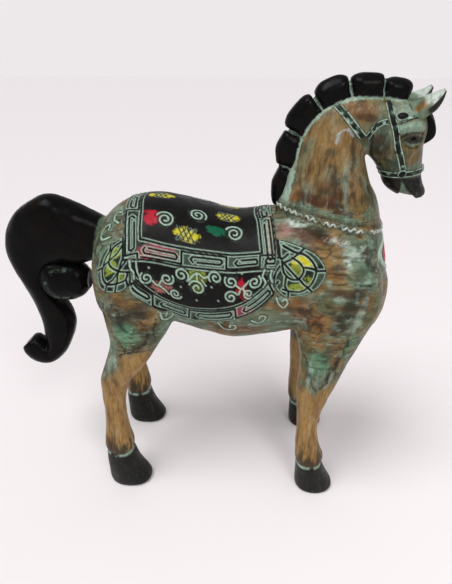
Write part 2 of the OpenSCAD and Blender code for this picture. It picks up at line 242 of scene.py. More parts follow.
class Skin:
    """Corners and quads that can be smoothed and carved."""

    def __init__(self, verts, quads):
        self.v, self.q = verts, np.asarray(quads)
        e = np.concatenate([self.q[:, [k, (k + 1) % 4]] for k in range(4)])
        e = np.unique(np.sort(e, axis=1), axis=0)
        self.e = e
        self.count = np.bincount(e.ravel(), minlength=len(verts)).astype(float)

    def mean(self, a):
        n, e = len(self.v), self.e
        cols = [np.bincount(e[:, 0], a[e[:, 1], k], n) + np.bincount(e[:, 1], a[e[:, 0], k], n)
                for k in range(a.shape[1])]
        return np.stack(cols, 1) / self.count[:, None]

    def smooth(self, times, weight=1.0, keep=True):
        """Even the skin out; keep=True gives back the size that smoothing takes."""
        w = np.broadcast_to(np.asarray(weight, float), len(self.v))[:, None]
        for _ in range(times):
            self.v = self.v + 0.5 * w * (self.mean(self.v) - self.v)
            if keep:
                self.v = self.v - 0.52 * w * (self.mean(self.v) - self.v)

    def normals(self):
        a, b, c, d = (self.v[self.q[:, k]] for k in range(4))
        fn = np.cross(c - a, d - b)
        n = np.zeros_like(self.v)
        for k in range(4):
            for j in range(3):
                n[:, j] += np.bincount(self.q[:, k], fn[:, j], len(self.v))
        return n / np.maximum(np.linalg.norm(n, axis=1, keepdims=True), 1e-9)

    def as_right(self):
        """The corners, with the left side's mirrored onto the right."""
        return np.stack([self.v[:, 0], -np.abs(self.v[:, 1]), self.v[:, 2]], 1)

    def push(self, by):
        """Move each corner out along its normal."""
        self.v = self.v + self.normals() * by[:, None]

    def carve(self, marks):
        """Raise or sink both sides, at (x, y, z, radius, height) marks of the right one."""
        p, by = self.as_right(), np.zeros(len(self.v))
        for x, y, z, r, h in marks:
            by += h * np.exp(-((p - [x - MID, y, z]) ** 2).sum(1) / r ** 2)
        self.push(by)

    def ridge(self, path, r, h):
        """A carved line on both sides: h > 0 stands up, h < 0 is cut in."""
        d = seg_dist(self.as_right(), np.array(path, float) - [MID, 0, 0])
        self.push(h * np.exp(-(d / r) ** 2))


def seg_dist(p, path):
    """Distance of the points p to a polyline, in as many dimensions as they have."""
    path = np.asarray(path, float)
    best = np.full(len(p), 1e9)
    for a, b in zip(path[:-1], path[1:]):
        ab = b - a
        t = np.clip(((p - a) @ ab) / max(ab @ ab, 1e-12), 0, 1)
        best = np.minimum(best, ((p - a - t[:, None] * ab) ** 2).sum(1))
    return np.sqrt(best)


def inside(p, poly):
    """Which of the plane points p lie inside a closed outline."""
    poly = np.asarray(poly, float)
    x, y = p[:, 0], p[:, 1]
    got = np.zeros(len(p), bool)
    for (x0, y0), (x1, y1) in zip(poly, np.roll(poly, -1, axis=0)):
        hit = (y0 > y) != (y1 > y)
        got ^= hit & (x < (x1 - x0) * (y - y0) / (y1 - y0 if y1 != y0 else 1e-9) + x0)
    return got


# --------------------------------------------------------------- plain noise
def lattice(i, j, k, seed):
    h = (i * 374761393 + j * 668265263 + k * 1442695041 + seed * 1274126177) & 0xFFFFFFFF
    h = ((h ^ (h >> 13)) * 1274126177) & 0xFFFFFFFF
    return ((h ^ (h >> 16)) & 0xFFFF) / 65535.0


def noise(p, size, seed=0, octaves=3):
    """Smooth noise from 0 to 1 at the points p, with blobs about `size` across."""
    total, amp, norm = np.zeros(len(p)), 1.0, 0.0
    q = np.asarray(p, float) / size + 1000
    for o in range(octaves):
        f = np.floor(q).astype(np.int64)
        t = q - f
        t = t * t * (3 - 2 * t)
        acc = 0
        for dx in (0, 1):
            for dy in (0, 1):
                for dz in (0, 1):
                    w = ((t[:, 0] if dx else 1 - t[:, 0]) * (t[:, 1] if dy else 1 - t[:, 1])
                         * (t[:, 2] if dz else 1 - t[:, 2]))
                    acc = acc + w * lattice(f[:, 0] + dx, f[:, 1] + dy, f[:, 2] + dz, seed + o)
        total += amp * acc
        norm += amp
        amp *= 0.55
        q = q * 2.03
    return total / norm


def uneven(p, size, seed, octaves=3):
    """The same noise, from -0.5 to 0.5."""
    return noise(p, size, seed, octaves) - 0.5


def step(a, b, v):
    """0 at a and beyond, 1 at b and beyond, and a smooth way between."""
    t = np.clip((v - a) / (b - a), 0, 1)
    return t * t * (3 - 2 * t)


def mix(a, b, w):
    """Colours a, taken towards b by the share w."""
    w = np.asarray(w)[..., None]
    return a * (1 - w) + b * w


def rgb(r, g, b):
    """A colour as a screen shows it, turned into light."""
    c = np.array([r, g, b]) / 255
    return np.where(c <= 0.04045, c / 12.92, ((c + 0.055) / 1.055) ** 2.4)


MINT, PALE_MINT, DEEP_GREEN = rgb(96, 122, 100), rgb(164, 190, 172), rgb(36, 52, 40)
# the chalk white is paint on the beads and ears, and painted highlights in the body's patches
FRESH, CHALK_AND_HIGHLIGHT, OLIVE = rgb(88, 136, 104), rgb(196, 208, 198), rgb(79, 82, 46)
TAN, OCHRE, RUST = rgb(138, 108, 64), rgb(118, 76, 35), rgb(80, 37, 17)
BROWN, UMBER, BLACK = rgb(61, 40, 21), rgb(26, 19, 10), rgb(10, 9, 9)
YELLOW, LIME, ROSE, RED = rgb(206, 196, 40), rgb(136, 150, 54), rgb(150, 52, 76), rgb(182, 20, 46)
EMERALD, SALMON, LEG_WOOD = rgb(12, 96, 68), rgb(160, 106, 96), rgb(157, 121, 67)
# brushed patches, the same on both sides: x, z, half length, half height, tilt in degrees,
# colour, strength; the chalk-white patches are painted highlights
PATCHES = [
    (150, 326, 28, 30, 0, MINT * 1.1, 0.85), (160, 250, 14, 34, 12, MINT, 0.6),
    (95, 353, 29, 8, -9, RUST, 0.85), (100, 358, 11, 7, -8, UMBER, 0.85), (67, 357, 9, 6, 0, SALMON, 0.6),
    (80, 363, 14, 3.5, 6, CHALK_AND_HIGHLIGHT, 0.9), (116, 333, 15, 18, 0, TAN, 0.95),
    (121, 318, 11, 7, 0, OCHRE * 1.2, 0.6), (131, 334, 7, 14, 8, CHALK_AND_HIGHLIGHT, 0.95),
    (120, 350, 15, 5, -8, CHALK_AND_HIGHLIGHT, 0.95), (142, 340, 12, 12, -10, CHALK_AND_HIGHLIGHT, 0.6),
    (161, 326, 3.5, 17, 4, RUST * 1.6, 0.45), (150, 338, 2.5, 12, 4, RUST * 1.6, 0.35),
    (135, 300, 24, 5.5, 2, RUST * 0.7, 0.85), (90, 276, 22, 15, -28, OCHRE, 0.95),
    (105, 262, 13, 10, 0, OCHRE * 0.9, 0.7), (112, 286, 11, 11, 0, OLIVE, 0.85),
    (137, 280, 9, 25, -18, UMBER * 1.5, 0.85), (126, 262, 9, 14, -10, BROWN, 0.6),
    (150, 274, 4.5, 24, -14, PALE_MINT * 0.8, 0.7), (165, 276, 9, 24, -14, OLIVE * 1.1, 0.7),
    (176, 262, 8, 26, -20, TAN * 0.8, 0.5), (-104, 268, 26, 24, 0, UMBER * 1.6, 0.75),
    (-101, 243, 16, 17, 0, FRESH, 0.95), (-79, 274, 13, 11, 0, BROWN, 0.85),
    (-106, 266, 5, 14, 0, UMBER, 0.7), (-128, 262, 8, 28, 0, OLIVE, 0.8), (-124, 226, 12, 16, 0, MINT, 0.8),
    (-60, 243, 9, 26, -24, MINT * 1.1, 0.85), (-73, 224, 8, 16, -24, OLIVE, 0.6),
    (-92, 226, 13, 6, 34, UMBER, 0.75), (-80, 250, 5, 13, -10, UMBER, 0.6),
    (8, 247, 44, 10, 0, OCHRE * 0.9, 0.95), (48, 268, 18, 12, 20, MINT, 0.9),
    (-24, 250, 17, 8, -10, MINT, 0.9), (70, 250, 14, 18, -20, MINT * 0.9, 0.7),
    (-88, 342, 12, 13, 0, OCHRE * 1.2, 0.6), (-116, 332, 16, 30, 0, MINT, 0.8),
    (-104, 322, 6, 16, 10, BROWN, 0.5), (-98, 352, 16, 6, -10, CHALK_AND_HIGHLIGHT, 0.4),
    (111, 212, 15, 20, 0, FRESH, 0.95), (141, 234, 6, 17, -22, FRESH * 0.9, 0.85),
    (128, 206, 4.5, 20, -14, UMBER, 0.8), (98, 226, 6, 15, 10, OLIVE, 0.7), (99, 196, 5, 16, 8, OLIVE, 0.6),
    (75, 389, 8, 7, 0, OCHRE, 0.9), (98, 387, 19, 6, -8, RUST * 0.75, 0.95),
    (120, 381, 9, 6, -20, RUST * 0.6, 0.95), (129, 375, 5, 5, 0, UMBER, 0.9),
    (112, 396, 14, 8, -20, RUST, 0.5), (148, 384, 12, 12, 0, OLIVE * 0.8, 0.6),
    (91, 378, 18, 3.5, -6, MINT, 0.9), (124, 371.5, 24, 3.5, -10, MINT * 1.05, 0.9),
    (155, 372, 14, 10, 0, MINT * 0.9, 0.7), (124, 404, 3.5, 26, 4, PALE_MINT * 0.75, 0.5),
    (84, 424, 5, 26, -24, MINT, 0.45), (151, 398, 5, 22, 14, DEEP_GREEN, 0.6),
    (172, 470, 16, 7, 0, PALE_MINT * 0.75, 0.7), (178, 456, 15, 6, 6, MINT * 1.05, 0.9),
    (146, 448, 14, 16, 0, MINT * 0.75, 0.8), (133, 470.5, 17, 7.5, -3, OCHRE * 0.95, 0.95),
    (139, 464, 11, 4, -8, RUST * 0.6, 0.9), (156, 441, 9, 14, 8, UMBER, 0.95),
    (151, 445, 4.5, 5, 0, RUST * 1.2, 0.85), (160, 430, 5, 7, 0, BROWN * 1.3, 0.7),
    (168, 424, 6, 12, 10, DEEP_GREEN * 1.5, 0.6), (189, 427.5, 8.5, 7, 0, TAN * 0.8, 0.9),
    (185, 444, 11, 5, 4, DEEP_GREEN * 0.6, 0.85), (168, 412, 10, 8, 0, DEEP_GREEN * 1.6, 0.7),
    (192, 416, 8, 3, 0, MINT * 0.8, 0.8), (199, 440, 5, 12, 0, MINT * 0.7, 0.8),
]
# dark cracks: about half their width, and their path in x and z
CRACKS = [
    (1.8, [(-77, 246), (-84, 231), (-98, 221), (-112, 211)]), (1.4, [(-107, 274), (-105, 258), (-99, 250)]),
    (1.2, [(-84, 264), (-79, 252), (-82, 238)]), (1.0, [(-115, 240), (-108, 228), (-104, 216)]),
    (1.6, [(103, 194), (107, 184), (110, 175)]), (1.6, [(127, 194), (121, 182), (116, 176)]),
    (1.8, [(133, 214), (128, 200), (122, 190)]), (1.2, [(97, 216), (101, 204), (103, 192)]),
    (0.5, [(112, 308), (137, 309.5), (168, 306)]), (1.2, [(-122, 286), (-124, 262), (-118, 244)]),
    (1.0, [(-66, 262), (-72, 246), (-70, 232)]), (1.0, [(140, 246), (138, 228), (132, 212)]),
]


def body_paint(p):
    """Green wash brushed over stained wood, with chalk-white painted highlights, at the points p."""
    x, z = p[:, 0] + MID, p[:, 2]
    flat = np.stack([x, z], 1)
    upright = np.clip(step(250, 215, z) + step(362, 382, z), 0, 1)
    q = p * mix(np.array([0.45, 1, 0.8]), np.array([1, 1, 0.16]), upright)
    streak, brush = noise(q, 3.0, 3, 3), noise(q, 9, 11, 3)
    cloud, fine, blotch = noise(p, 26, 21, 4), noise(p, 2.4, 31, 2), noise(p, 8, 51, 4)
    edge = np.where(x > 20, 170 + 0.4 * (x - 98), 190 + np.clip(x + 126, -12, 36))
    leg = step(6, -12, z - edge + 16 * (brush - 0.5))
    neck, skull = step(376, 390, z) * (x > 40), step(138, 150, x) * step(395, 405, z)
    wood = mix(TAN, OCHRE, step(0.42, 0.7, brush))
    wood = mix(wood, BROWN, 0.75 * step(0.50, 0.74, 0.7 * streak + 0.3 * cloud))
    wood = mix(wood, LEG_WOOD * (0.72 + 0.5 * streak)[:, None], leg)
    wood = mix(wood, OCHRE, 0.55 * leg * step(0.5, 0.75, brush))
    on_neck = mix(TAN * 0.92, BROWN * 1.25, step(0.42, 0.72, 0.5 * brush + 0.5 * streak + 0.0016 * (420 - z)))
    wood = mix(wood, on_neck, neck * (1 - skull))
    most = np.clip(0.90 - 0.84 * leg - 0.62 * neck + 0.55 * skull, 0.04, 0.9)
    wet = np.maximum(step(0.22, 0.62, cloud + 0.6 * (brush - 0.5)), 0.8 * skull)
    green = mix(MINT * 0.75, PALE_MINT * 0.8, step(0.45, 0.85, 0.5 * blotch + 0.5 * brush))
    green = mix(green, OLIVE, step(0.52, 0.36, cloud))
    col = mix(wood, green, most * wet * (0.78 + 0.4 * (streak - 0.3)))
    ragged = 1.6 * (blotch - 0.5) + 1.5 * (streak - 0.5)
    for cx, cz, w, h, tilt, paint, amount in PATCHES:
        c, sn = math.cos(math.radians(tilt)), math.sin(math.radians(tilt))
        near = np.where((np.abs(x - cx) < 1.6 * (w + h)) & (np.abs(z - cz) < 1.6 * (w + h)))[0]
        if len(near) == 0:
            continue
        dx, dz, rag = x[near] - cx, z[near] - cz, ragged[near] * min(1, (w + h) / 36)
        d2 = ((dx * c + dz * sn) / w) ** 2 + ((dz * c - dx * sn) / h) ** 2
        f = step(1.35, 0.25, d2 + rag) * amount * (0.75 + 0.5 * (brush[near] - 0.3))
        # the chalk-white patches are painted highlights, broken up into streaks
        if paint is CHALK_AND_HIGHLIGHT:
            f = f * step(0.44, 0.60, 0.6 * streak[near] + 0.4 * fine[near])
        col[near] = mix(col[near], paint * (0.78 + 0.44 * streak[near])[:, None], np.clip(f, 0, 1))
    for w, path in CRACKS:
        lo, hi = np.min(path, 0) - 9, np.max(path, 0) + 9
        near = np.where(((flat > lo) & (flat < hi)).all(1))[0]
        if len(near):
            bent = flat[near] + 9 * np.stack([blotch[near] - 0.5, brush[near] - 0.5], 1)
            d = seg_dist(bent, curve_of(path, 4)) + 1.8 * (fine[near] - 0.5)
            col[near] = mix(col[near], UMBER * 0.7, 0.9 * step(w * 1.3, w * 0.4, d))
    veins = 1 - np.abs(2 * noise(q * [1, 1, 0.8], 15, 71, 4) - 1)
    veined = step(0.44, 0.58, noise(p, 30, 73, 2)) * (1 - leg) * (1 - 0.5 * skull) * (1 - 0.6 * neck)
    col = mix(col, UMBER, 0.7 * veined * step(0.90, 0.985, veins))
    pale_lines = step(0.62, 0.72, noise(q, 4.5, 75, 3))
    col = mix(col, PALE_MINT, 0.45 * pale_lines * wet * (1 - leg) * (1 - 0.7 * neck))
    col = mix(col, DEEP_GREEN, 0.55 * step(0.56, 0.72, noise(p, 12, 61, 4)) * (1 - 0.8 * leg))
    col = mix(col, CHALK_AND_HIGHLIGHT, 0.30 * step(0.66, 0.8, streak) * step(0.5, 0.65, cloud) * (1 - leg) * (1 - neck))
    return col * (0.80 + 0.34 * noise(p, 5, 79, 3))[:, None]


FORE_HOOF_TOP, HIND_HOOF_TOP, HAIR_REACH = 43.8, 54.5, 50


def hoof_paint(col, p):
    """Hair lines over the fetlock, a pale line at the coronet and a black hoof."""
    x, z = p[:, 0], p[:, 2]
    hind = x < 0
    top = np.where(hind, HIND_HOOF_TOP, FORE_HOOF_TOP) + 1.2 * (noise(p, 9, 81, 2) - 0.5)
    hair = noise(p * [1, 1, 0.1], 3.0, 91, 2)
    reach = np.clip((z - top) / HAIR_REACH, 0, 1)
    col = mix(col, UMBER, step(0.44, 0.60, hair + 0.30 * (1 - reach) - 0.3 * reach) * (z > top)
              * (1 - reach) ** 0.5 * 0.95)
    line = np.exp(-((z - top) / 1.6) ** 2)
    col = mix(col, BLACK * 0.7, step(1.0, -1.0, z - top))
    col = mix(col, PALE_MINT * 0.9, line * step(0.3, 0.5, noise(p, 6, 95, 3)))
    rub = step(0.62, 0.78, noise(p, 7, 97, 4)) * (z < top)
    return mix(col, DEEP_GREEN, 0.4 * rub)


def black_paint(p, size, seed, low=0.8, more=0.9):
    """Black, a little cloudy."""
    return BLACK * (low + more * noise(p, size, seed, 3))[:, None]


# ---------------------------------------------------------------- materials
DARK_VEIL, PALE_VEIL = (0.030, 0.019, 0.006, 1), (0.34, 0.41, 0.30, 1)
DIRT, HAZE = (0.012, 0.010, 0.008, 1), (0.36, 0.46, 0.40, 1)
BUMP_METRES, COAT_ROUGH = 0.0006, 0.18


def shader(name, rough=(0.32, 0.55), coat=0.03, grain=(1, 1, 1), bump=0.35, spots=0.5, haze_most=0.05,
           shine=0.2, own=None, glaze=0.55):
    """Paint from the piece's own colour layer, aged with streaks, pits and rubbed spots."""
    mat = bpy.data.materials.new(name)
    mat.use_nodes = True
    nt = mat.node_tree
    nt.nodes.clear()

    def add(kind, **sets):
        nd = nt.nodes.new(kind)
        for k, v in sets.items():
            setattr(nd, k, v)
        return nd

    def wire(a, b):
        nt.links.new(a, b)

    out = add("ShaderNodeOutputMaterial")
    bsdf = add("ShaderNodeBsdfPrincipled")
    paint = add("ShaderNodeAttribute", attribute_name="paint").outputs["Color"] if own is None else own
    where = add("ShaderNodeTexCoord")
    stretch = add("ShaderNodeMapping")
    stretch.inputs["Scale"].default_value = grain
    wire(where.outputs["Object"], stretch.inputs["Vector"])

    def noise_node(scale, detail, src, rough_=0.6):
        nd = add("ShaderNodeTexNoise")
        nd.inputs["Scale"].default_value = scale
        nd.inputs["Detail"].default_value = detail
        nd.inputs["Roughness"].default_value = rough_
        wire(src, nd.inputs["Vector"])
        return nd.outputs["Fac"]

    streaks = noise_node(420, 6, stretch.outputs["Vector"])
    pits = noise_node(900, 4, where.outputs["Object"])
    clouds = noise_node(70, 6, where.outputs["Object"])

    def ranged(src, a, b, lo, hi):
        nd = add("ShaderNodeMapRange")
        for k, v in zip(("From Min", "From Max", "To Min", "To Max"), (a, b, lo, hi)):
            nd.inputs[k].default_value = v
        wire(src, nd.inputs["Value"])
        return nd.outputs["Result"]

    def blend(kind, a, b, fac):
        nd = add("ShaderNodeMix", data_type="RGBA", blend_type=kind)
        for src, key in ((a, 6), (b, 7), (fac, 0)):
            if isinstance(src, (int, float, tuple)):
                nd.inputs[key].default_value = src
            else:
                wire(src, nd.inputs[key])
        return nd.outputs[2]

    streak_f = ranged(streaks, 0.35, 0.7, 0.72, 1.22)
    grey = add("ShaderNodeCombineColor")
    for k in ("Red", "Green", "Blue"):
        wire(streak_f, grey.inputs[k])
    col = blend("MULTIPLY", paint, grey.outputs["Color"], 0.85)
    if own is None:
        tone = add("ShaderNodeRGBToBW")
        wire(paint, tone.inputs[0])
        on_light = ranged(tone.outputs[0], 0.006, 0.05, 0.15, 1.0)

    def over_light(fac):
        """Keep a pale veil off the dark paint."""
        if own is not None:
            return fac
        nd = add("ShaderNodeMath", operation="MULTIPLY")
        wire(fac, nd.inputs[0])
        wire(on_light, nd.inputs[1])
        return nd.outputs[0]

    if glaze:
        veil = noise_node(150, 8, stretch.outputs["Vector"], 0.7)
        col = blend("MIX", col, DARK_VEIL, ranged(veil, 0.50, 0.66, 0.0, 1.2 * glaze))
        pale_veil = over_light(ranged(veil, 0.46, 0.32, 0.0, 0.55 * glaze))
        col = blend("MIX", col, PALE_VEIL, pale_veil)
    dirt = ranged(pits, 0.60, 0.72, 0.0, spots)
    col = blend("MIX", col, DIRT, dirt)
    haze = over_light(ranged(clouds, 0.60, 0.80, 0.0, haze_most))
    col = blend("MIX", col, HAZE, haze)
    wire(col, bsdf.inputs["Base Color"])
    wire(ranged(clouds, 0.3, 0.7, rough[0], rough[1]), bsdf.inputs["Roughness"])
    bsdf.inputs["Coat Weight"].default_value = coat
    bsdf.inputs["Specular IOR Level"].default_value = shine
    bsdf.inputs["Coat Roughness"].default_value = COAT_ROUGH
    add_h = add("ShaderNodeMath", operation="ADD")
    wire(streaks, add_h.inputs[0])
    wire(pits, add_h.inputs[1])
    bp = add("ShaderNodeBump")
    bp.inputs["Strength"].default_value = bump
    bp.inputs["Distance"].default_value = BUMP_METRES
    wire(add_h.outputs[0], bp.inputs["Height"])
    wire(bp.outputs["Normal"], bsdf.inputs["Normal"])
    wire(bsdf.outputs["BSDF"], out.inputs["Surface"])
    return mat


WASHED = shader("washed_wood", grain=(0.24, 1, 1))
WASHED_UP = shader("washed_wood_upright", grain=(1, 1, 0.18))
LACQUER = shader("black_lacquer", rough=(0.15, 0.32), coat=0.0, grain=(1, 1, 0.6), bump=0.18,
                 spots=0.2, haze_most=0.006, shine=0.06, glaze=0.0)
INLAY = shader("painted_carving", rough=(0.26, 0.5), coat=0.0, bump=0.25, spots=0.45,
               haze_most=0.008, shine=0.12, glaze=0.12)
BARE = shader("bare_dowel", rough=(0.55, 0.75), coat=0.0, grain=(1, 1, 0.15), bump=0.3, spots=0.15,
              own=(0.50, 0.32, 0.16, 1))


def finish_piece(name, verts, faces, paint, mat, replaces=()):
    """Make the object in metres, with its colour layer, and put it on the frame."""
    me = as_mesh(name, np.asarray(verts) * MM, faces)
    layer = me.color_attributes.new("paint", "FLOAT_COLOR", "POINT")
    rgba = np.concatenate([np.clip(paint, 0, 1), np.ones((len(verts), 1))], 1)
    layer.data.foreach_set("color", rgba.astype(np.float32).ravel())
    me.polygons.foreach_set("use_smooth", np.ones(len(me.polygons), bool))
    me.materials.append(mat)
    ob = bpy.data.objects.new(name, me)
    bpy.context.scene.collection.objects.link(ob)
    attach(ob, "root")
    if replaces:
        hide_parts(*replaces)
    return ob


# ------------------------------------------------------- trunk and the legs
def cut(verts, faces, co, no, region=None):
    """Cut a closed mesh by a plane, within a region, and cap both: (kept part, other part)."""
    bm = bmesh_of(verts, faces)
    co, no = Vector(co), Vector(no).normalized()
    chosen = [f for f in bm.faces if region is None or region(f.calc_center_median())]
    geom = list({v for f in chosen for v in f.verts} | {e for f in chosen for e in f.edges}) + chosen
    bmesh.ops.bisect_plane(bm, geom=geom, dist=1e-5, plane_co=co, plane_no=no)
    parts = []
    for side in (1, -1):
        b = bm.copy()
        gone = []
        for f in b.faces:
            c = f.calc_center_median()
            there = region is None or region(c)
            above = (c - co).dot(no) > 0
            if side == 1 and there and above:
                gone.append(f)
            if side == -1 and not (there and above):
                gone.append(f)
        bmesh.ops.delete(b, geom=gone, context="FACES")
        rim = [e for e in b.edges if len(e.link_faces) == 1]
        bmesh.ops.holes_fill(b, edges=rim, sides=0)
        bmesh.ops.triangulate(b, faces=[f for f in b.faces if len(f.verts) > 4])
        parts.append(arrays_of(b))
    bm.free()
    return parts


def seat_of(xa, za, xb, zb):
    """A seat's direction from a to b in side view, and its way up."""
    along = np.array([xb - xa, 0, zb - za], float)
    along /= np.linalg.norm(along)
    return along, (-along[2], 0, along[0])


parts = [loft(BARREL, 6, 72, 0.92), loft(BREAST, 5, 64), loft(DOCK, 6, 48)]
for m in (False, True):
    parts += [loft(SHOULDER + FORE_LEG, 6, 56, 0.88, m), loft(HAUNCH + HIND_LEG, 6, 56, 0.88, m)]
body = Skin(*fuse(parts, voxel=1.7))
soft = step(60, 75, body.v[:, 2])                        # the hooves keep their edges
body.smooth(3)
body.smooth(26, soft)
body.smooth(5, soft, keep=False)
body.carve([
    (-95, -62, 300, 34, 1.5), (-118, -50, 330, 22, 1.5), (-30, -66, 268, 26, -2.0),
    (72, -60, 262, 20, -2.5), (120, -66, 300, 26, 2.0), (150, -50, 322, 20, 1.5),
    (176, -22, 292, 16, 2.0), (183, 0, 300, 10, -1.5), (-60, -60, 246, 14, -1.5),
    (112, -72, 96, 10, 0.6), (110, -70, 150, 14, 0.8), (128, -58, 120, 10, 0.8),
])
seat_dir, seat_up = seat_of(*NECK_SEAT[:4])
_, tail_out = seat_of(*TAIL_SEAT[2:4], *TAIL_SEAT[:2])
seat_at = (NECK_SEAT[0] - MID, 0, NECK_SEAT[1])
tail_at = (TAIL_SEAT[0] - MID, 0, TAIL_SEAT[1])
hair_zone = step(46, 54, body.v[:, 2]) * step(110, 84, body.v[:, 2])
hair = noise(body.v * [1, 1, 0.1], 4.5, 403, 1)
body.push(0.9 * uneven(body.v, 13, 401, 2) + 1.2 * hair_zone * (hair - 0.5))
trunk, _ = cut(body.v, body.q, seat_at, seat_up, lambda c: c.z > 330 and c.x > 60)
trunk, _ = cut(*trunk, tail_at, tail_out, lambda c: c.x < -90 and abs(c.y) < 40 and c.z > 280)
trunk, fores = cut(*trunk, (0, 0, FORE_Z), (0, 0, -1), lambda c: c.x > 60)
trunk, hinds = cut(*trunk, (0, 0, HIND_Z), (0, 0, -1), lambda c: c.x < -20)


def one_side(part, sign):
    """The faces of a two-legged part that lie on one side of the middle plane."""
    v, f = part
    keep = [q for q in f if sign * sum(v[k][1] for k in q) > 0]
    used = sorted({k for q in keep for k in q})
    new = {k: i for i, k in enumerate(used)}
    return v[used], [[new[k] for k in q] for q in keep]


v, f = trunk
col = body_paint(v)
for z0, far in ((FORE_Z, 60), (HIND_Z, -20)):
    near = np.exp(-((v[:, 2] - z0) / 1.1) ** 2) * ((v[:, 0] > far) if far > 0 else (v[:, 0] < far))
    col = mix(col, UMBER, 0.8 * near)
finish_piece("trunk_carved", v, f, col, WASHED, ["trunk"])
for part, word in ((fores, "front"), (hinds, "hind")):
    for sign, side in SIDES:
        v, f = one_side(part, sign)
        finish_piece(f"leg_{word}_{side}_carved", v, f, hoof_paint(body_paint(v), v), WASHED_UP,
                     [f"leg_{word}_{side}"])


# ----------------------------------------------------------- neck and head
def crest_at(t):
    return spline(CREST, min(max(t, 0), 0.9999) * (len(CREST) - 1))


def crest_turn(t):
    return unit(crest_at(t + 0.01) - crest_at(t - 0.01))


def crest_frame(t):
    """A crest point in side view, the way along the crest and the way up from it."""
    a = crest_turn(t)
    return crest_at(t), a, np.array([-a[1], a[0]])


CREST_LINE = np.array([crest_at(k / 60) for k in range(61)])
CREST_TURN = np.array([crest_turn(k / 60) for k in range(61)])


def above_crest(flat):
    """How far plane points lie outside the neck's top line."""
    near = ((flat[:, None] - CREST_LINE[None]) ** 2).sum(2).argmin(1)
    d, turn = flat - CREST_LINE[near], CREST_TURN[near]
    return d[:, 1] * turn[:, 0] - d[:, 0] * turn[:, 1]


def from_mouth(lx, z):
    """How far out of the mouth's gap, in halves of its width."""
    gap_mid, gap_w = 182.5 + (405 - z) * 0.45, 0.3 + (405 - z) * 0.28
    return np.abs(lx - gap_mid) / np.maximum(gap_w, 0.4)


head = Skin(*fuse([loft(NECK, 8, 72, 0.9)], voxel=1.1))
head.smooth(8)
head.carve([
    (160, -24, 438, 13, 2.4), (172, -22, 428, 9, 1.0), (191, -20, 428, 8, -2.2),
    (184.5, -26, 446, 5.5, -2.6), (200, -14, 440, 8, -1.0), (203, -15, 399, 3.6, 1.8),
    (204.5, -15, 398.5, 1.9, -3.2), (199, -13, 410, 8, -1.2), (150, -24, 455, 8, -1.2),
    (120, -32, 405, 22, 1.0), (137, -22, 430, 12, -1.2),
])
head.ridge([[169, -26, 453], [177, -27, 456.5], [186, -26, 457], [194, -22, 455]], 4.0, 1.9)
head.ridge([[171, -26, 446.5], [177, -27, 450], [184, -26, 451.2], [193, -24, 450.3]], 1.5, -2.0)
head.ridge([[178, -26, 439.5], [184, -26, 437], [191, -24, 438.5]], 1.4, -1.3)
head.ridge([[180, -26, 434.5], [187, -25, 432.5], [195, -20, 434]], 3.0, 1.0)
head.ridge([[146, -22, 449], [147, -24, 437], [151, -24, 426], [160, -22, 418]], 2.2, -2.0)
head.smooth(2)
lx, z = head.v[:, 0] + MID, head.v[:, 2]
gap = step(1.3, 0.8, from_mouth(lx, z)) * (z < 404) * (lx > 165)
head.v[:, 1] *= 1 - 0.22 * gap
head.v[:, 2] += gap * np.clip(392 - z, 0, 20) * 0.35
head.v[:, 0] += 3.5 * np.exp(-((z - 388) / 7) ** 2) * step(190, 203, lx)
head_tree = tree_of(head.v, head.q)
(neck_v, neck_f), _ = cut(head.v, head.q, seat_at, [-k for k in seat_up])
lx, y, z = neck_v[:, 0] + MID, neck_v[:, 1], neck_v[:, 2]
flat = np.stack([lx, z], 1)
col = body_paint(neck_v)
socket = step(1.5, 0.5, ((lx - 184) / 10) ** 2 + ((z - 445) / 4.6) ** 2)
col = mix(col, UMBER * 0.9, 0.9 * socket)
lower_lid = seg_dist(flat, curve_of([(176, 443), (182, 440.3), (190, 441)], 4))
col = mix(col, MINT * 0.8, 0.8 * step(1.3, 0.5, lower_lid))
brow = step(1.4, 0.5, ((lx - 181) / 15) ** 2 + ((z - 456 - 0.1 * (lx - 181)) / 5.5) ** 2)
col = mix(col, mix(MINT * 0.9, PALE_MINT * 0.9, noise(neck_v, 5, 113, 3)), 0.8 * brow)
# painted shade in the carved creases of the head and along the lower edge of the brow strap
shaded_creases = [(1.3, [(171, 446.5), (177, 450), (184, 451.2), (193, 450.3)]),
           (0.9, [(178, 439.5), (184, 437), (191, 438.5)]),
           (1.0, [(168, 459.5), (179, 463.5), (191, 465.5)]),
           (1.6, [(146, 449), (147, 437), (151, 426), (160, 418)])]
for w, path in shaded_creases:
    d = seg_dist(flat, curve_of(path, 4)) + 1.2 * uneven(neck_v, 3, 111, 2)
    col = mix(col, UMBER * 0.6, 0.9 * step(w * 1.4, w * 0.5, d))
muzzle = step(0, 3, (408.5 + 2.5 * uneven(neck_v, 7, 107, 2)) - z) * (lx > 166) * (z > 376)
col = mix(col, BLACK * 0.8, muzzle)
col = mix(col, MINT * 0.35, 0.4 * muzzle * step(0.60, 0.72, noise(neck_v, 5, 108, 3)))
gap = step(1.15, 0.75, from_mouth(lx, z)) * (z < 404) * (z > 376) * (lx > 166)
col = mix(col, MINT * (0.7 + 0.5 * noise(neck_v, 3, 110, 2))[:, None], gap)
hair = noise(neck_v, 2.6, 112, 2)
rim = above_crest(flat) + 4 * (hair - 0.5)
col = mix(col, PALE_MINT * 0.9, 0.8 * step(-4.2, -2.4, rim) * (lx < 176))
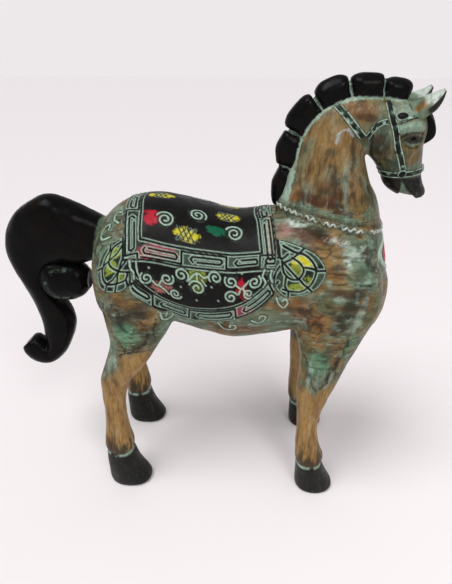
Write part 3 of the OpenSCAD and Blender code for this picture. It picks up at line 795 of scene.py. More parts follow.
# painted shade on the neck just above its seat, where the beaded rope lies
shade_under_rope = np.exp(-((z - (379.5 - (lx - 59) * 0.196) - 1.5) / 2.5) ** 2)
col = mix(col, UMBER, 0.5 * shade_under_rope)
swirl = seg_dist(flat, curve_of([(112.5, 441), (113, 447), (117, 452.5), (123, 452.5), (127, 448)]))
col = mix(col, rgb(160, 172, 176), 0.8 * step(1.9, 0.6, swirl + 3.4 * uneven(neck_v, 3, 109, 2)) * (y < 0))
finish_piece("neck_head_carved", neck_v, neck_f, col, WASHED_UP, ["neck_head"])


# -------------------------------------------------------------------- mane
lobes = []
for i in range(MANE_LOBES):
    t0, t1 = i / MANE_LOBES, (i + 1) / MANE_LOBES
    t = (t0 + t1) / 2
    c, a, up = crest_frame(t)
    half = np.linalg.norm(crest_at(t1) - crest_at(t0)) / 2
    rise = MANE_RISE * (0.7 + 0.36 * math.sin(math.pi * t))
    ribs = []
    for q, w, h in ((-0.4, 0.98, 0.86), (0, 1.02, 1), (0.4, 1.14, 0.98), (0.70, 1.15, 0.86),
                    (0.91, 0.95, 0.62), (1.04, 0.6, 0.36), (1.08, 0.28, 0.2)):
        p, s = c + up * q * rise, a * half * w
        ribs.append([p[0] + s[0], p[1] + s[1], p[0] - s[0], p[1] - s[1], MANE_T / 2 * h, 0, 0])
    lobes.append(loft(ribs, 5, 40, 0.78))
ribs = []
for i in range(13):
    c, a, up = crest_frame(0.01 + i * 0.98 / 12)
    o, q = c + up * 0.24 * MANE_RISE, c - up * 0.3 * MANE_RISE
    ribs.append([o[0], o[1], q[0], q[1], MANE_T * 0.42, 0, 0])
mane = Skin(*fuse(lobes + [loft(ribs, 3, 32, 0.7)], voxel=1.0))
mane.smooth(3)
split = np.full(len(mane.v), 99.0)
flat = mane.v[:, [0, 2]] + [MID, 0]
for i in range(1, MANE_LOBES):
    c, a, up = crest_frame(i / MANE_LOBES)
    split = np.minimum(split, seg_dist(flat, [c - up * 9, c + up * 26]))
mane.push(-(2.2 * np.exp(-(split / 1.2) ** 2) + 2.4 * uneven(mane.v, 12, 119, 1)))
off_crest = above_crest(flat)
col = black_paint(mane.v, 5, 111)
col = mix(col, UMBER * 0.8, 0.5 * step(0.55, 0.75, noise(mane.v, 12, 113, 3)))
col = mix(col, PALE_MINT * 0.85, 0.85 * step(0.95, 0.35, split + 1.2 * uneven(mane.v, 3, 115)))
foot_n = noise(mane.v, 3.0, 117, 3)
col = mix(col, PALE_MINT * (0.6 + 0.6 * foot_n)[:, None], step(-0.8, -2.2, off_crest + 3.5 * (foot_n - 0.5)))
col = mix(col, body_paint(mane.v), step(-3.4, -4.8, off_crest + 3.0 * (foot_n - 0.5)))
finish_piece("mane_carved", mane.v, mane.q, col, LACQUER, ["mane"])

# ------------------------------------------------------- forelock and ears
lock = Skin(*fuse([loft(FORELOCK, 8, 40, 0.9)], voxel=0.8))
lock.smooth(2)
lock.push(0.5 * np.sin(lock.v[:, 1] * 1.1 + lock.v[:, 2] * 0.15))
col = mix(black_paint(lock.v, 4, 121), MINT, step(470, 476, lock.v[:, 2] + 4 * uneven(lock.v, 4, 123)))
finish_piece("forelock_carved", lock.v, lock.q, col, LACQUER, ["forelock"])
for sign, side in SIDES:
    ear = Skin(*fuse([loft(EAR, 10, 44, 0.85)], voxel=0.7))
    ear.smooth(2)
    a, b = np.array([182, -15.6, 467.5]), np.array([207, -17.5, 488])
    u = unit(b - a)
    rel = ear.v + [MID, 0, 0] - a
    along = rel @ u
    off = rel - along[:, None] * u
    outward = unit(np.array([-0.25, -0.9, 0.32]))
    face_out = off @ outward
    wide = np.linalg.norm(off - face_out[:, None] * outward, axis=1)
    dish = np.exp(-(wide / 3.4) ** 2) * step(-1, 5, along) * step(31, 22, along) * (face_out > 0)
    ear.v = ear.v - outward * (3.4 * dish)[:, None]
    col = body_paint(ear.v) * 0.4 + MINT * 0.6
    col = mix(col, TAN, step(0.25, 0.7, dish) * step(20, 12, along))
    col = mix(col, CHALK_AND_HIGHLIGHT, 0.8 * step(11, 18, along + 6 * uneven(ear.v, 5, 131)))
    fore = off @ np.array([0.62, 0, -0.78])
    col = mix(col, BLACK, step(1.6, 3.0, fore + 0.12 * (along - 14)) * step(8, 13, along))
    v = ear.v * [1, -sign, 1]
    finish_piece(f"ear_{side}_carved", v, ear.q, col, WASHED_UP, [f"ear_{side}"])

# -------------------------------------------------------------------- tail
tail = Skin(*fuse([loft(TAIL, 7, 56, 0.86)], voxel=1.5))
tail.smooth(3)
tail.push(2.2 * uneven(tail.v * [0.8, 1, 0.6], 15, 141, 2))
(tv, tf), _ = cut(tail.v, tail.q, tail_at, [-k for k in tail_out])
col = black_paint(tv * [0.4, 1, 0.4], 6, 143, 0.7, 1.0)
col = mix(col, UMBER * 0.7, 0.5 * step(0.5, 0.75, noise(tv, 18, 145, 3)))
root = (tv - np.array(tail_at)) @ np.array(tail_out)
col = mix(col, MINT * 0.9, step(3.4, 0.6, root + 4 * uneven(tv, 6, 147)))
finish_piece("tail_carved", tv, tf, col, LACQUER, ["tail"])
curl = Skin(*fuse([loft(CURL, 9, 48, 0.95)], voxel=1.0))
curl.smooth(3)
cx, cz = curl.v[:, 0] + MID + 184, curl.v[:, 2] - 277
rad = np.hypot(cx, cz * 1.05)
groove = np.exp(-((rad - 19) / 2.2) ** 2) * (curl.v[:, 1] < -4) * (cx < 6)
curl.push(1.6 * uneven(curl.v, 11, 155, 2) - 0.5 * groove)
col = mix(black_paint(curl.v, 5, 151), MINT * 0.7, 0.75 * groove * step(0.45, 0.6, noise(curl.v, 5, 153, 3)))
finish_piece("tail_curl_carved", curl.v, curl.q, col, LACQUER, ["tail_curl"])


# ------------------------------------------------------- saddle cloth carving
def spiral(cx, cy, r, turns=1.6, start=0.0, hand=1, r0=0.18):
    t = np.linspace(0, 1, int(22 * turns) + 6)
    a = start + hand * 2 * np.pi * turns * t
    q = r * (r0 + (1 - r0) * t)
    return np.stack([cx + q * np.cos(a), cy + q * np.sin(a)], 1)


REAR_OUT = [(-78, -4), (-77, 12), (-76, 26), (-74, 48), (-73, 65), (-73, 82)]
REAR_IN = [(-60, -4), (-59, 15), (-57, 31), (-56, 50), (-55, 64)]
FRONT_IN = [(62, -4), (63, 12), (65, 23), (67, 45), (69, 63.5)]
FRONT_OUT = [(79, -4), (80, 14), (81, 26), (84, 58), (87, 80)]
PANEL_LOW = [(-55, 64), (-32, 68.5), (-4, 68), (24, 65), (51, 63), (69, 63.5)]
BORDER_LOW = [(-73, 82), (-50, 85), (-22, 87), (5, 84.5), (33, 80.5), (61, 79), (87, 82)]
SKIRT_OUT = [(-70, 104), (-66, 119), (-53, 132), (-35, 146), (-13, 155), (11, 151), (35, 140),
             (59, 130), (74, 119), (86, 106)]
SKIRT_IN = [(-62, 102), (-52, 114), (-34, 129), (-11, 135), (12, 131), (35, 122), (54, 113),
            (69, 102), (78, 92)]
FRONT_PALM = [(84, 350), (94, 349), (112, 344), (124, 338), (132, 329), (135, 321), (133, 312),
              (127, 304), (118, 298), (108, 295), (96, 294), (88, 299), (82, 307)]
FRONT_BAND = [(90, 345), (102, 340), (111, 338), (119, 332), (124, 323), (122, 313), (117, 306),
              (109, 301), (97, 302), (91, 304)]
REAR_PALM = [(-73, 57), (-86, 59), (-97, 64), (-103, 74), (-104, 86), (-101, 97), (-94, 107),
             (-84, 113), (-74, 114), (-67, 108), (-66, 98)]
REAR_BAND = [(-75, 63), (-84, 66), (-92, 72), (-96, 82), (-95, 92), (-90, 100), (-81, 104),
             (-71, 103), (-68, 95)]


def key_units(breaks, width, edge=2.6):
    """Lines of a running key pattern in (along, across) strip coordinates."""
    lines = []
    low = True
    for a, b in zip(breaks[:-1], breaks[1:]):
        hi, lo = edge, width - edge
        run = lo if low else hi
        other = hi if low else lo
        lines.append([(a + 2, run), (b - 2.5, run), (b - 2.5, other), (b + 2, other)])
        m0, m1 = width * 0.36, width * 0.66
        lines.append([(a + 7, m0 if low else m1), (a + 5, (m0 + m1) / 2), (a + 7, m1 if low else m0),
                      (b - 7, m1 if low else m0), (b - 6, (m0 + m1) / 2), (b - 8, m0 if low else m1),
                      (a + 11, m0 if low else m1)])
        low = not low
    return lines


def strip_lines(outer, inner_, breaks, n=60):
    """Key lines laid into the strip between two edges; breaks are shares of its length."""
    o = np.array([spline(outer, k * (len(outer) - 1) / n) for k in range(n + 1)])
    i = np.array([spline(inner_, k * (len(inner_) - 1) / n) for k in range(n + 1)])
    length = np.linalg.norm(np.diff((o + i) / 2, axis=0), axis=1).sum()
    width = np.linalg.norm(o - i, axis=1).mean()
    got = []
    for line in key_units([b * length for b in breaks], width):
        fine = []
        for (u0, v0), (u1, v1) in zip(line[:-1], line[1:]):
            k = max(2, int(abs(u1 - u0) / 5) + 2)
            fine += [(u0 + (u1 - u0) * s / k, v0 + (v1 - v0) * s / k) for s in range(k)]
        fine.append(line[-1])
        pts = []
        for u, w in fine:
            q = min(max(u / length, 0), 1) * n
            j = min(int(q), n - 1)
            po, pi = o[j] + (o[j + 1] - o[j]) * (q - j), i[j] + (i[j + 1] - i[j]) * (q - j)
            pts.append(po + (pi - po) * (w / width))
        got.append(np.array(pts))
    return got


# grooves in (x, s), grooves in (x, z), thin scratches and pale strokes in (x, s)
lines_xs, lines_xz, lines_thin, strokes = [], [], [], []
lines_xs += [curve_of(c) for c in (REAR_OUT, REAR_IN, FRONT_IN, FRONT_OUT, PANEL_LOW, BORDER_LOW,
                                   SKIRT_OUT, SKIRT_IN)]
lines_xs += strip_lines(REAR_OUT, REAR_IN + [(-55, 82)], [0.02, 0.42, 0.97])
lines_xs += strip_lines(FRONT_OUT, FRONT_IN + [(70, 80)], [0.02, 0.36, 0.95])
lines_xs += strip_lines([(-55, 64), (-32, 68.5), (-4, 68), (24, 65), (51, 63), (69, 63.5), (84, 64)],
                        [(-55, 85), (-32, 87), (-4, 86), (24, 82), (51, 79.5), (69, 79.5), (87, 82)],
                        [0.0, 0.30, 0.57, 0.83, 1.0])
lines_xs += strip_lines(SKIRT_OUT, [(-62, 102), (-58, 108)] + SKIRT_IN[1:], [0.03, 0.29, 0.48, 0.72, 0.98])
SCROLLS = [(-49, 104, 7.2, 1), (-28, 103, 7.2, -1), (-20, 119, 6.4, -1), (-13, 95.5, 7.8, 1),
           (22, 90, 7.4, -1), (3, 106, 8.4, -1), (38, 91, 7.0, 1), (62, 92, 7.2, -1),
           (38, 108, 7.2, 1), (56, 104, 5.4, -1)]
for k, (cx, cy, r, hand) in enumerate(SCROLLS):
    strokes.append(spiral(cx, cy, r, 1.45, start=1.2 + k, hand=hand))
strokes += [curve_of(c) for c in (
    [(-43, 107), (-38, 112), (-34, 106)], [(-36, 112), (-30, 117), (-27, 121)],
    [(-6, 100), (0, 92), (5, 90), (10, 93), (15, 90)], [(3, 90), (3, 97)], [(8, 96), (12, 101)],
    [(43, 94), (48, 98), (53, 94), (56, 90)], [(48, 98), (46, 104)], [(50, 97), (53, 104)],
    [(-66, 84), (-65, 92), (-62, 97), (-62, 104)], [(-59, 86), (-58, 96), (-55, 104)],
    [(72, 80), (70, 87), (73, 93), (71, 99)], [(79, 82), (78, 88), (80, 94)])]
SPOT_SPIRALS = [(-31, 41, 9.6, -1), (1, 26, 9.2, 1), (40, 40, 9.6, -1)]
for cx, cy, r, hand in SPOT_SPIRALS:
    strokes.append(spiral(cx, cy, r, 1.75, start=2.0, hand=hand))
HATCHED = [(-39, 1, 13, 6), (33, 17, 12, 6.5), (-7, 53, 13, 7.5)]
for cx, cy, rx, ry in HATCHED:
    for k in (-1.4, -0.5, 0.4):
        mid = cx + k * rx * 0.42
        lines_thin.append(np.array([(mid - 3, cy - ry * 0.9), (mid + 4, cy + ry * 0.9)]))
        lines_thin.append(np.array([(mid + 5, cy - ry * 0.9), (mid - 3, cy + ry * 0.9)]))
strokes += [curve_of(c) for c in (                       # flourishes round the cloth
    [(-38, 147), (-36, 155), (-29, 157), (-26, 151), (-31, 148), (-33, 152)],
    [(24, 147), (29, 154), (36, 156), (43, 152), (42, 146), (37, 147), (37, 151)],
    [(60, 139), (66, 144), (72, 143), (75, 137), (70, 134), (68, 138)],
    [(85, 124), (88, 132), (93, 136), (97, 130), (94, 124), (91, 128)],
    [(-88, 52), (-97, 48), (-100, 40), (-96, 34), (-90, 36), (-91, 42)],
    [(-80, 40), (-86, 32), (-84, 24), (-79, 26)])]
lines_xs += [curve_of(REAR_PALM), curve_of(REAR_BAND)]
lines_xs += [curve_of(c) for c in (
    [(-86, 59), (-87, 66)], [(-102, 76), (-95, 79)], [(-95, 106), (-91, 99)], [(-83, 113), (-81, 105)],
    [(-66, 96), (-78, 92), (-88, 80), (-84, 66)], [(-78, 92), (-84, 98), (-91, 99)],
    [(-73, 66), (-80, 74), (-94, 78)], [(-72, 78), (-78, 92), (-80, 104)], [(-70, 84), (-76, 90)])]
lines_xz += [curve_of(FRONT_PALM), curve_of(FRONT_BAND)]
lines_xz += [curve_of(c) for c in (
    [(112, 344), (106, 339)], [(134, 322), (124, 322)], [(121, 301), (116, 306)], [(97, 294), (97, 302)],
    [(106, 339), (99, 334), (90, 330)], [(99, 335), (106, 331), (111, 325), (110, 319), (106, 314)],
    [(111, 326), (118, 325), (124, 323)], [(107, 315), (112, 309), (116, 306)],
    [(89, 332), (91, 322), (95, 317), (101, 314), (107, 314)], [(90, 331), (98, 323), (107, 314)],
    [(94, 318), (93, 308), (96, 302)], [(87, 327), (82, 318), (82, 308)], [(86, 344), (88, 334), (95, 338)])]
OUTLINE = np.concatenate([curve_of(REAR_OUT), curve_of(SKIRT_OUT), curve_of(FRONT_OUT)[::-1]])


# colour spots: x, s (or z), half sizes, colour, strength
PANEL_SPOTS = [(*spot, YELLOW, 0.9) for spot in HATCHED]
PANEL_SPOTS += [(-44, 41, 9, 9, RED, 0.9), (-50, 33, 8, 2.0, RED, 0.5)]
PANEL_SPOTS += [(cx, cy, r, r, MINT * 0.4, 0.45) for cx, cy, r, _ in SPOT_SPIRALS]
PANEL_SPOTS += [(20, 41, 10, 5.5, EMERALD, 0.9)]
SKIRT_SPOTS = [(cx, cy, r, r, MINT * 0.35, 0.4) for cx, cy, r, _ in SCROLLS]
SKIRT_SPOTS += [(-34, 114, 10, 8, SALMON, 0.85), (4, 94, 11, 7, LIME, 0.9), (3, 106, 6, 6, LIME, 0.7),
                (48, 95, 6, 7, RED, 0.95), (52, 104, 5, 7, RED * 0.6, 0.7)]
BORDER_SPOTS = [(-36, 76, 20, 8, ROSE, 0.85), (-48, 82, 8, 4, RED, 0.8),
                (76, 40, 4, 26, SALMON * 1.1, 0.7), (52, 126, 12, 7, ROSE, 0.8)]
FRONT_SPOTS = [(109, 331, 11, 7, YELLOW, 0.9), (105, 305, 11, 5, LIME, 0.9),
               (104, 324, 7, 6, LIME * 0.7, 0.9), (89, 313, 5, 8, LIME * 0.8, 0.9),
               (117, 312, 5, 6, LIME * 0.8, 0.9)]
REAR_SPOTS = [(-84, 72, 9, 6, LIME * 1.3, 0.9), (-86, 84, 7, 7, LIME, 0.9), (-76, 98, 8, 7, LIME * 0.6, 0.9)]
SKIRT_DOTS = ((-46, 93), (-14, 109), (18, 101), (2, 121), (25, 115), (49, 82), (-55, 110), (64, 108))


def near_lines(q, lines, reach=7.0):
    best = np.full(len(q), 99.0)
    for ln in lines:
        lo, hi = ln.min(0) - reach, ln.max(0) + reach
        ok = np.where(((q > lo) & (q < hi)).all(1))[0]
        if len(ok):
            best[ok] = np.minimum(best[ok], seg_dist(q[ok], ln))
    return best


def ornament(p, s):
    """Height and colour of the carving, for body points p at arc s from the spine."""
    x, z = p[:, 0], p[:, 2]
    q, r = np.stack([x, s], 1), np.stack([x, z], 1)
    cloth = inside(q, OUTLINE)
    palm_f, palm_r = inside(r, curve_of(FRONT_PALM)), inside(q, curve_of(REAR_PALM))
    band_f, band_r = inside(r, curve_of(FRONT_BAND)), inside(q, curve_of(REAR_BAND))
    palm_f &= ~cloth & (s > 25)
    palm_r &= ~cloth
    d = np.minimum(near_lines(q, lines_xs), np.where(s > 25, near_lines(r, lines_xz), 99))
    n1, n2, n3 = noise(p, 4, 201, 3), noise(p, 9, 203, 3), noise(p, 2.2, 205, 2)
    zone = cloth | palm_f | palm_r
    panel = inside(q, np.concatenate([curve_of(REAR_IN), curve_of(PANEL_LOW), curve_of(FRONT_IN)[::-1]]))
    skirt = inside(q, np.concatenate([[(-60, 86)], curve_of(SKIRT_IN), curve_of(BORDER_LOW)[::-1][4:-4]]))
    border = cloth & ~panel & ~skirt
    col = body_paint(p)
    col = mix(col, BLACK * (0.8 + 0.6 * n2)[:, None], (panel | skirt).astype(float))
    rub = step(0.34, 0.64, 0.6 * n1 + 0.4 * n2)
    ink = np.broadcast_to(BLACK * 1.2, col.shape)
    col = mix(col, mix(ink, MINT * 0.62, 0.04 + 0.62 * rub * step(2.0, 3.2, d)), border.astype(float))
    col = mix(col, mix(ink, DEEP_GREEN * 0.9, 0.2 + 0.7 * rub), (palm_f | palm_r).astype(float))
    col = mix(col, mix(ink, MINT * 0.7, 0.75 * rub), ((palm_f & ~band_f) | (palm_r & ~band_r)) * 0.6)

    def spots(col, table, plane=q, mask=1.0):
        for cx, cy, rx, ry, paint, amount in table:
            d2 = ((plane[:, 0] - cx) / rx) ** 2 + ((plane[:, 1] - cy) / ry) ** 2
            w = step(1.3, 0.6, d2 + 2.2 * (n1 - 0.5)) * amount * step(0.30, 0.48, n3 + 0.12)
            col = mix(col, paint, w * mask)
        return col

    col = spots(col, PANEL_SPOTS)
    # a pinkish painted sheen, speckled, on the front of the black panel
    painted_sheen = np.exp(-((x - 60 + MID) / 9) ** 2 - ((s - 30) / 17) ** 2)
    col = mix(col, rgb(190, 176, 184), 0.85 * panel * step(0.62, 0.8, 0.5 * n3 + 0.5 * painted_sheen))
    col = spots(col, SKIRT_SPOTS)
    col = spots(col, BORDER_SPOTS, mask=border)
    col = spots(col, FRONT_SPOTS, r, palm_f & band_f)
    col = spots(col, REAR_SPOTS, mask=palm_r & band_r)
    for cx, cy in SKIRT_DOTS:
        col = mix(col, PALE_MINT * 0.7, 0.9 * step(1.6, 0.8, np.hypot(q[:, 0] - cx, q[:, 1] - cy)))
    lip = np.exp(-((d - 1.7) / 0.52) ** 2) * step(0.22, 0.5, 0.6 * n1 + 0.4 * n3 + 0.06)
    core = step(1.2, 0.7, d + 0.4 * (n1 - 0.5))
    dt = near_lines(q, lines_thin)
    col = mix(col, BLACK, 0.9 * step(0.9, 0.45, dt))
    col = mix(col, PALE_MINT * 0.8, 0.55 * np.exp(-((dt - 1.25) / 0.4) ** 2) * (n1 > 0.45))
    col = mix(col, PALE_MINT, 0.95 * lip)
    col = mix(col, BLACK * 0.8, core)
    ds = near_lines(q, strokes)
    around = np.exp(-((ds - 1.75) / 0.7) ** 2)
    col = mix(col, BLACK, np.where(zone, 0.85, 0.6) * around)
    on_stroke = step(1.1, 0.6, ds + 0.9 * (n1 - 0.5)) * step(0.2, 0.4, n3 + 0.12)
    col = mix(col, PALE_MINT * (0.8 + 0.4 * n1)[:, None], 0.92 * on_stroke)
    height = np.where(zone, 1.0, -0.7 + 1.4 * step(4.5, 2.5, ds))
    height = height - 1.0 * np.exp(-(d / 0.9) ** 2) + 0.3 * np.exp(-((d - 1.9) / 0.7) ** 2)
    height = height + 0.35 * np.exp(-(ds / 0.9) ** 2) - 0.3 * around - 0.35 * np.exp(-(dt / 0.6) ** 2)
    return height, col


X0, X1, S1, PITCH_MM = -108.0, 142.0, 164.0, 0.8
STRIDE = 4              # outer cells to one cell of the shell's hidden inner side
SHELL_DEPTH = 2.2       # how deep that side lies in the wood
xs = np.arange(X0, X1 + 1e-6, PITCH_MM)
xs = xs[:(len(xs) - 1) // STRIDE * STRIDE + 1]
ss = np.arange(0, S1 + 1e-6, PITCH_MM)
ss = ss[:(len(ss) - 1) // STRIDE * STRIDE + 1]
RAY_FROM, RAY_TO_Z = 260, 300
angles = np.radians(np.arange(0, 172, 1.5))


def side_grid():
    """Body points of the right side on the (x, s) grid, found by rays across the body."""
    grid = np.zeros((len(xs), len(ss), 3))
    coarse = np.arange(0, len(xs), 2)
    rows = []
    for i in coarse:
        hit = []
        for a in angles:
            w = Vector((0, -math.sin(a), math.cos(a)))
            got = trunk_tree.ray_cast(Vector((xs[i], -1e-4, RAY_TO_Z)) + w * RAY_FROM, -w)
            hit.append(got[0] if got[0] is not None else Vector((xs[i], 0, RAY_TO_Z)))
        pts = np.array(hit)
        arc = np.concatenate([[0], np.cumsum(np.linalg.norm(np.diff(pts, axis=0), axis=1))])
        rows.append(np.stack([np.interp(ss, arc, pts[:, k]) for k in range(3)], 1))
    rows = np.array(rows)
    for j in range(len(ss)):
        for k in range(3):
            grid[:, j, k] = np.interp(xs, xs[coarse], rows[:, j, k])
    return grid


trunk_tree = tree_of(*trunk)
grid = side_grid()
du = np.gradient(grid, axis=0)
dv = np.gradient(grid, axis=1)
nrm = np.cross(dv, du)
nrm /= np.maximum(np.linalg.norm(nrm, axis=2, keepdims=True), 1e-9)
if nrm[len(xs) // 2, len(ss) // 2, 1] > 0:
    nrm = -nrm
for _ in range(3):
    nrm[1:-1, 1:-1] = (nrm[1:-1, 1:-1] * 2 + nrm[2:, 1:-1] + nrm[:-2, 1:-1]
                       + nrm[1:-1, 2:] + nrm[1:-1, :-2]) / 6
nrm /= np.maximum(np.linalg.norm(nrm, axis=2, keepdims=True), 1e-9)
P = grid.reshape(-1, 3)
S = np.tile(ss, len(xs))
high, paint = ornament(P, S)
rim = np.minimum.reduce([np.repeat(xs - X0, len(ss)), np.repeat(xs[-1] - xs, len(ss)),
                         np.tile(ss[-1] - ss, len(xs))])
high = np.where(rim < 3, np.minimum(high, -0.9), high)
seat_gap = (P - np.array(seat_at)) @ np.array(seat_up)
high = np.where(seat_gap > -2.5, -1.0, high)
outer_v = P + nrm.reshape(-1, 3) * high[:, None]
nx, ns = len(xs), len(ss)
outer_f = [[i * ns + j, i * ns + j + 1, (i + 1) * ns + j + 1, (i + 1) * ns + j]
           for i in range(nx - 1) for j in range(ns - 1)]
ci, cj = np.arange(0, nx, STRIDE), np.arange(0, ns, STRIDE)
inner_v = (grid - nrm * SHELL_DEPTH)[np.ix_(ci, cj)].reshape(-1, 3)
base, mj = nx * ns, len(cj)
inner_f = [[base + i * mj + j, base + (i + 1) * mj + j, base + (i + 1) * mj + j + 1, base + i * mj + j + 1]
           for i in range(len(ci) - 1) for j in range(mj - 1)]


def zip_edge(fine, coarse):
    """The faces between a fine edge and a coarse one."""
    faces = []
    for k in range(len(coarse) - 1):
        for j in range(STRIDE):
            a, b = fine[STRIDE * k + j], fine[STRIDE * k + j + 1]
            faces.append([a, b, coarse[k] if j < STRIDE // 2 else coarse[k + 1]])
            if j == STRIDE // 2 - 1:
                faces.append([coarse[k], b, coarse[k + 1]])
    return faces


walls = zip_edge([i * ns for i in range(nx)], [base + i * mj for i in range(len(ci))])
walls += zip_edge([i * ns + ns - 1 for i in range(nx)], [base + i * mj + mj - 1 for i in range(len(ci))])
walls += zip_edge(list(range(ns)), [base + j for j in range(mj)])
walls += zip_edge([(nx - 1) * ns + j for j in range(ns)], [base + (len(ci) - 1) * mj + j for j in range(mj)])
shell_v = np.concatenate([outer_v, inner_v])
shell_c = np.concatenate([paint, np.broadcast_to(TAN, inner_v.shape)])
for sign, side in SIDES:
    finish_piece(f"saddle_carving_{side}", shell_v * [1, -sign, 1], outer_f + inner_f + walls, shell_c,
                 INLAY)


# ------------------------------------------------------------------ bridle
BESIDE_HEAD = 120


def on_head(x, z, side):
    """The head's skin at leg-frame (x, z), seen from one side: point and normal."""
    got = head_tree.ray_cast(Vector((x - MID, side * BESIDE_HEAD, z)), Vector((0, -side, 0)))
    if got[0] is None:
        return None
    return np.array(got[0]), np.array(got[1])


STRAP_THICK = 1.4
# across a strap, in halves of its width, and height in thicknesses
STRAP_SECTION = [(-1.16, -1.2), (-1.1, 0.15), (-0.92, 0.85), (-0.74, 0.85), (-0.62, 0.45),
                 (-0.3, 0.6), (0, 0.64), (0.3, 0.6), (0.62, 0.45), (0.74, 0.85), (0.92, 0.85),
                 (1.1, 0.15), (1.16, -1.2)]


def strap(name, rows, width, pitch, bar):
    """A carved strap laid on the head along rows of (point, normal), with black bars let in."""
    pts = np.array([r[0] for r in rows])
    closed = np.allclose(pts[0], pts[-1])
    if closed:
        rows, pts = rows[:-1], pts[:-1]
    count = len(rows)
    arc = np.concatenate([[0], np.cumsum(np.linalg.norm(np.diff(pts, axis=0), axis=1))])
    m = len(STRAP_SECTION)
    verts = []
    for k, (p, n) in enumerate(rows):
        a, b = (k - 1, (k + 1) % count) if closed else (max(k - 1, 0), min(k + 1, count - 1))
        t = pts[b] - pts[a]
        t = t - n * (t @ n)
        c = np.cross(n, t / np.linalg.norm(t))
        for u, h in STRAP_SECTION:
            near = head_tree.find_nearest(Vector(p + c * u * width / 2))
            verts.append(np.array(near[0]) + n * h * STRAP_THICK)
    faces = [[i * m + j, (i + 1) % count * m + j, (i + 1) % count * m + (j + 1) % m, i * m + (j + 1) % m]
             for i in range(count if closed else count - 1) for j in range(m)]
    if not closed:
        faces += end_caps(count, m)
    verts, u = np.array(verts), np.abs(np.tile([q[0] for q in STRAP_SECTION], count))
    along, n1 = np.repeat(arc, m), noise(verts, 2.5, 301, 2)
    col = mix(np.broadcast_to(DEEP_GREEN, verts.shape), PALE_MINT, step(0.42, 0.8, n1))
    col = mix(col, PALE_MINT, 0.85 * step(0.68, 0.76, u) * step(0.25, 0.45, n1))
    dark = (np.abs((along + 5 * (n1 - 0.5)) % pitch - pitch / 2) < bar / 2) & (u < 0.66)
    col = mix(col, BLACK, 0.95 * dark)
    col = mix(col, UMBER * 0.6, step(1.0, 1.08, u))
    finish_piece(name, verts, faces, col, INLAY)


# side-view path, width, spacing and length of the black bars
STRAPS = {
    "cheek_strap": ([(157.5, 478), (161, 465), (165.5, 454), (169.5, 440), (175, 428), (180, 416)],
                    6.2, 13.5, 10.5),
    "brow_strap": ([(170, 461.5), (177, 464.5), (185, 466.5), (191, 467.5)], 2.4, 9, 0.0),
    "throat_strap": ([(110, 474), (119, 466), (128, 456), (137, 446.5)], 6.6, 11, 5.0),
    "jaw_strap": ([(141, 446), (146, 454), (152, 459.5), (158, 461)], 5.0, 7, 3.5),
}
for side, word in SIDES:
    for name, (path, width, pitch, bar) in STRAPS.items():
        rows = [got for got in (on_head(px, pz, side) for px, pz in curve_of(path, 8)) if got]
        strap(f"{name}_{word}", rows, width, pitch, bar)
NOSE_X, NOSE_Z, NOSE_REACH, NOSE_STEPS = 186, 411, 29, 72
nose_ring = []
for k in range(NOSE_STEPS + 1):
    a = 2 * math.pi * k / NOSE_STEPS
    way = Vector((math.cos(a), math.sin(a), 0.08 * math.cos(a)))
    got = head_tree.ray_cast(Vector((NOSE_X - MID, 0, NOSE_Z)) + way * NOSE_REACH, -way)
    nose_ring.append((np.array(got[0]), np.array(got[1])))
strap("nose_band", nose_ring, 6.0, 12, 8)


def dome(name, centre, normal, r, high, mat=INLAY, colour=BLACK, rim_colour=PALE_MINT,
         flat=1.0, rings=7, n=24):
    """A low carved boss on a point of the skin: a closed dome with one raised ring."""
    up = np.array(normal) / np.linalg.norm(normal)
    a = unit(np.cross(up, [0, 0, 1.0]))
    b = np.cross(up, a)
    turns = [2 * math.pi * j / n for j in range(n)]
    verts, tone = [centre + up * high], [0.0]
    for i in range(1, rings + 1):
        t = i / rings
        rad = r * math.sin(t * math.pi / 2)
        h = high * math.cos(t * math.pi / 2) + (0.25 * high * (1 if i == rings - 2 else 0))
        verts += [centre + a * rad * math.cos(ph) + b * flat * rad * math.sin(ph) + up * h for ph in turns]
        tone += [t] * n
    verts += [centre + a * r * 0.9 * math.cos(ph) + b * r * 0.9 * math.sin(ph) - up * 1.5 for ph in turns]
    verts, tone = np.array(verts), np.array(tone + [1] * n)
    faces = tube_faces(rings + 1, n, 1) + [[0, 1 + j, 1 + (j + 1) % n] for j in range(n)]
    faces.append([1 + rings * n + j for j in range(n)])
    col = mix(np.broadcast_to(colour, verts.shape), rim_colour, step(0.55, 0.75, tone))
    col = mix(col, UMBER, 0.35 * step(0.55, 0.7, noise(verts, 3, 311, 3)))
    finish_piece(name, verts, faces, col, mat)


for side, word in SIDES:
    p, n = on_head(184.5, 445.5, side)
    n = n * 0.6 + np.array([0.15, side * 0.8, 0.05])
    dome(f"eye_{word}", p - n * 1.3, n, 6.4, 2.6, LACQUER, BLACK * 0.7, BLACK, 0.42)
    p, n = on_head(170.5, 466, side)
    dome(f"rosette_{word}", p - n * 0.4, n, 6.6, 1.8, flat=0.6)
    p, n = on_head(180.5, 411.5, side)
    dome(f"bit_boss_{word}", p, n, 4.4, 2.0)

p, n = nose_ring[0]
dome("nose_boss", p + n * 1.0, n, 4.2, 2.4)

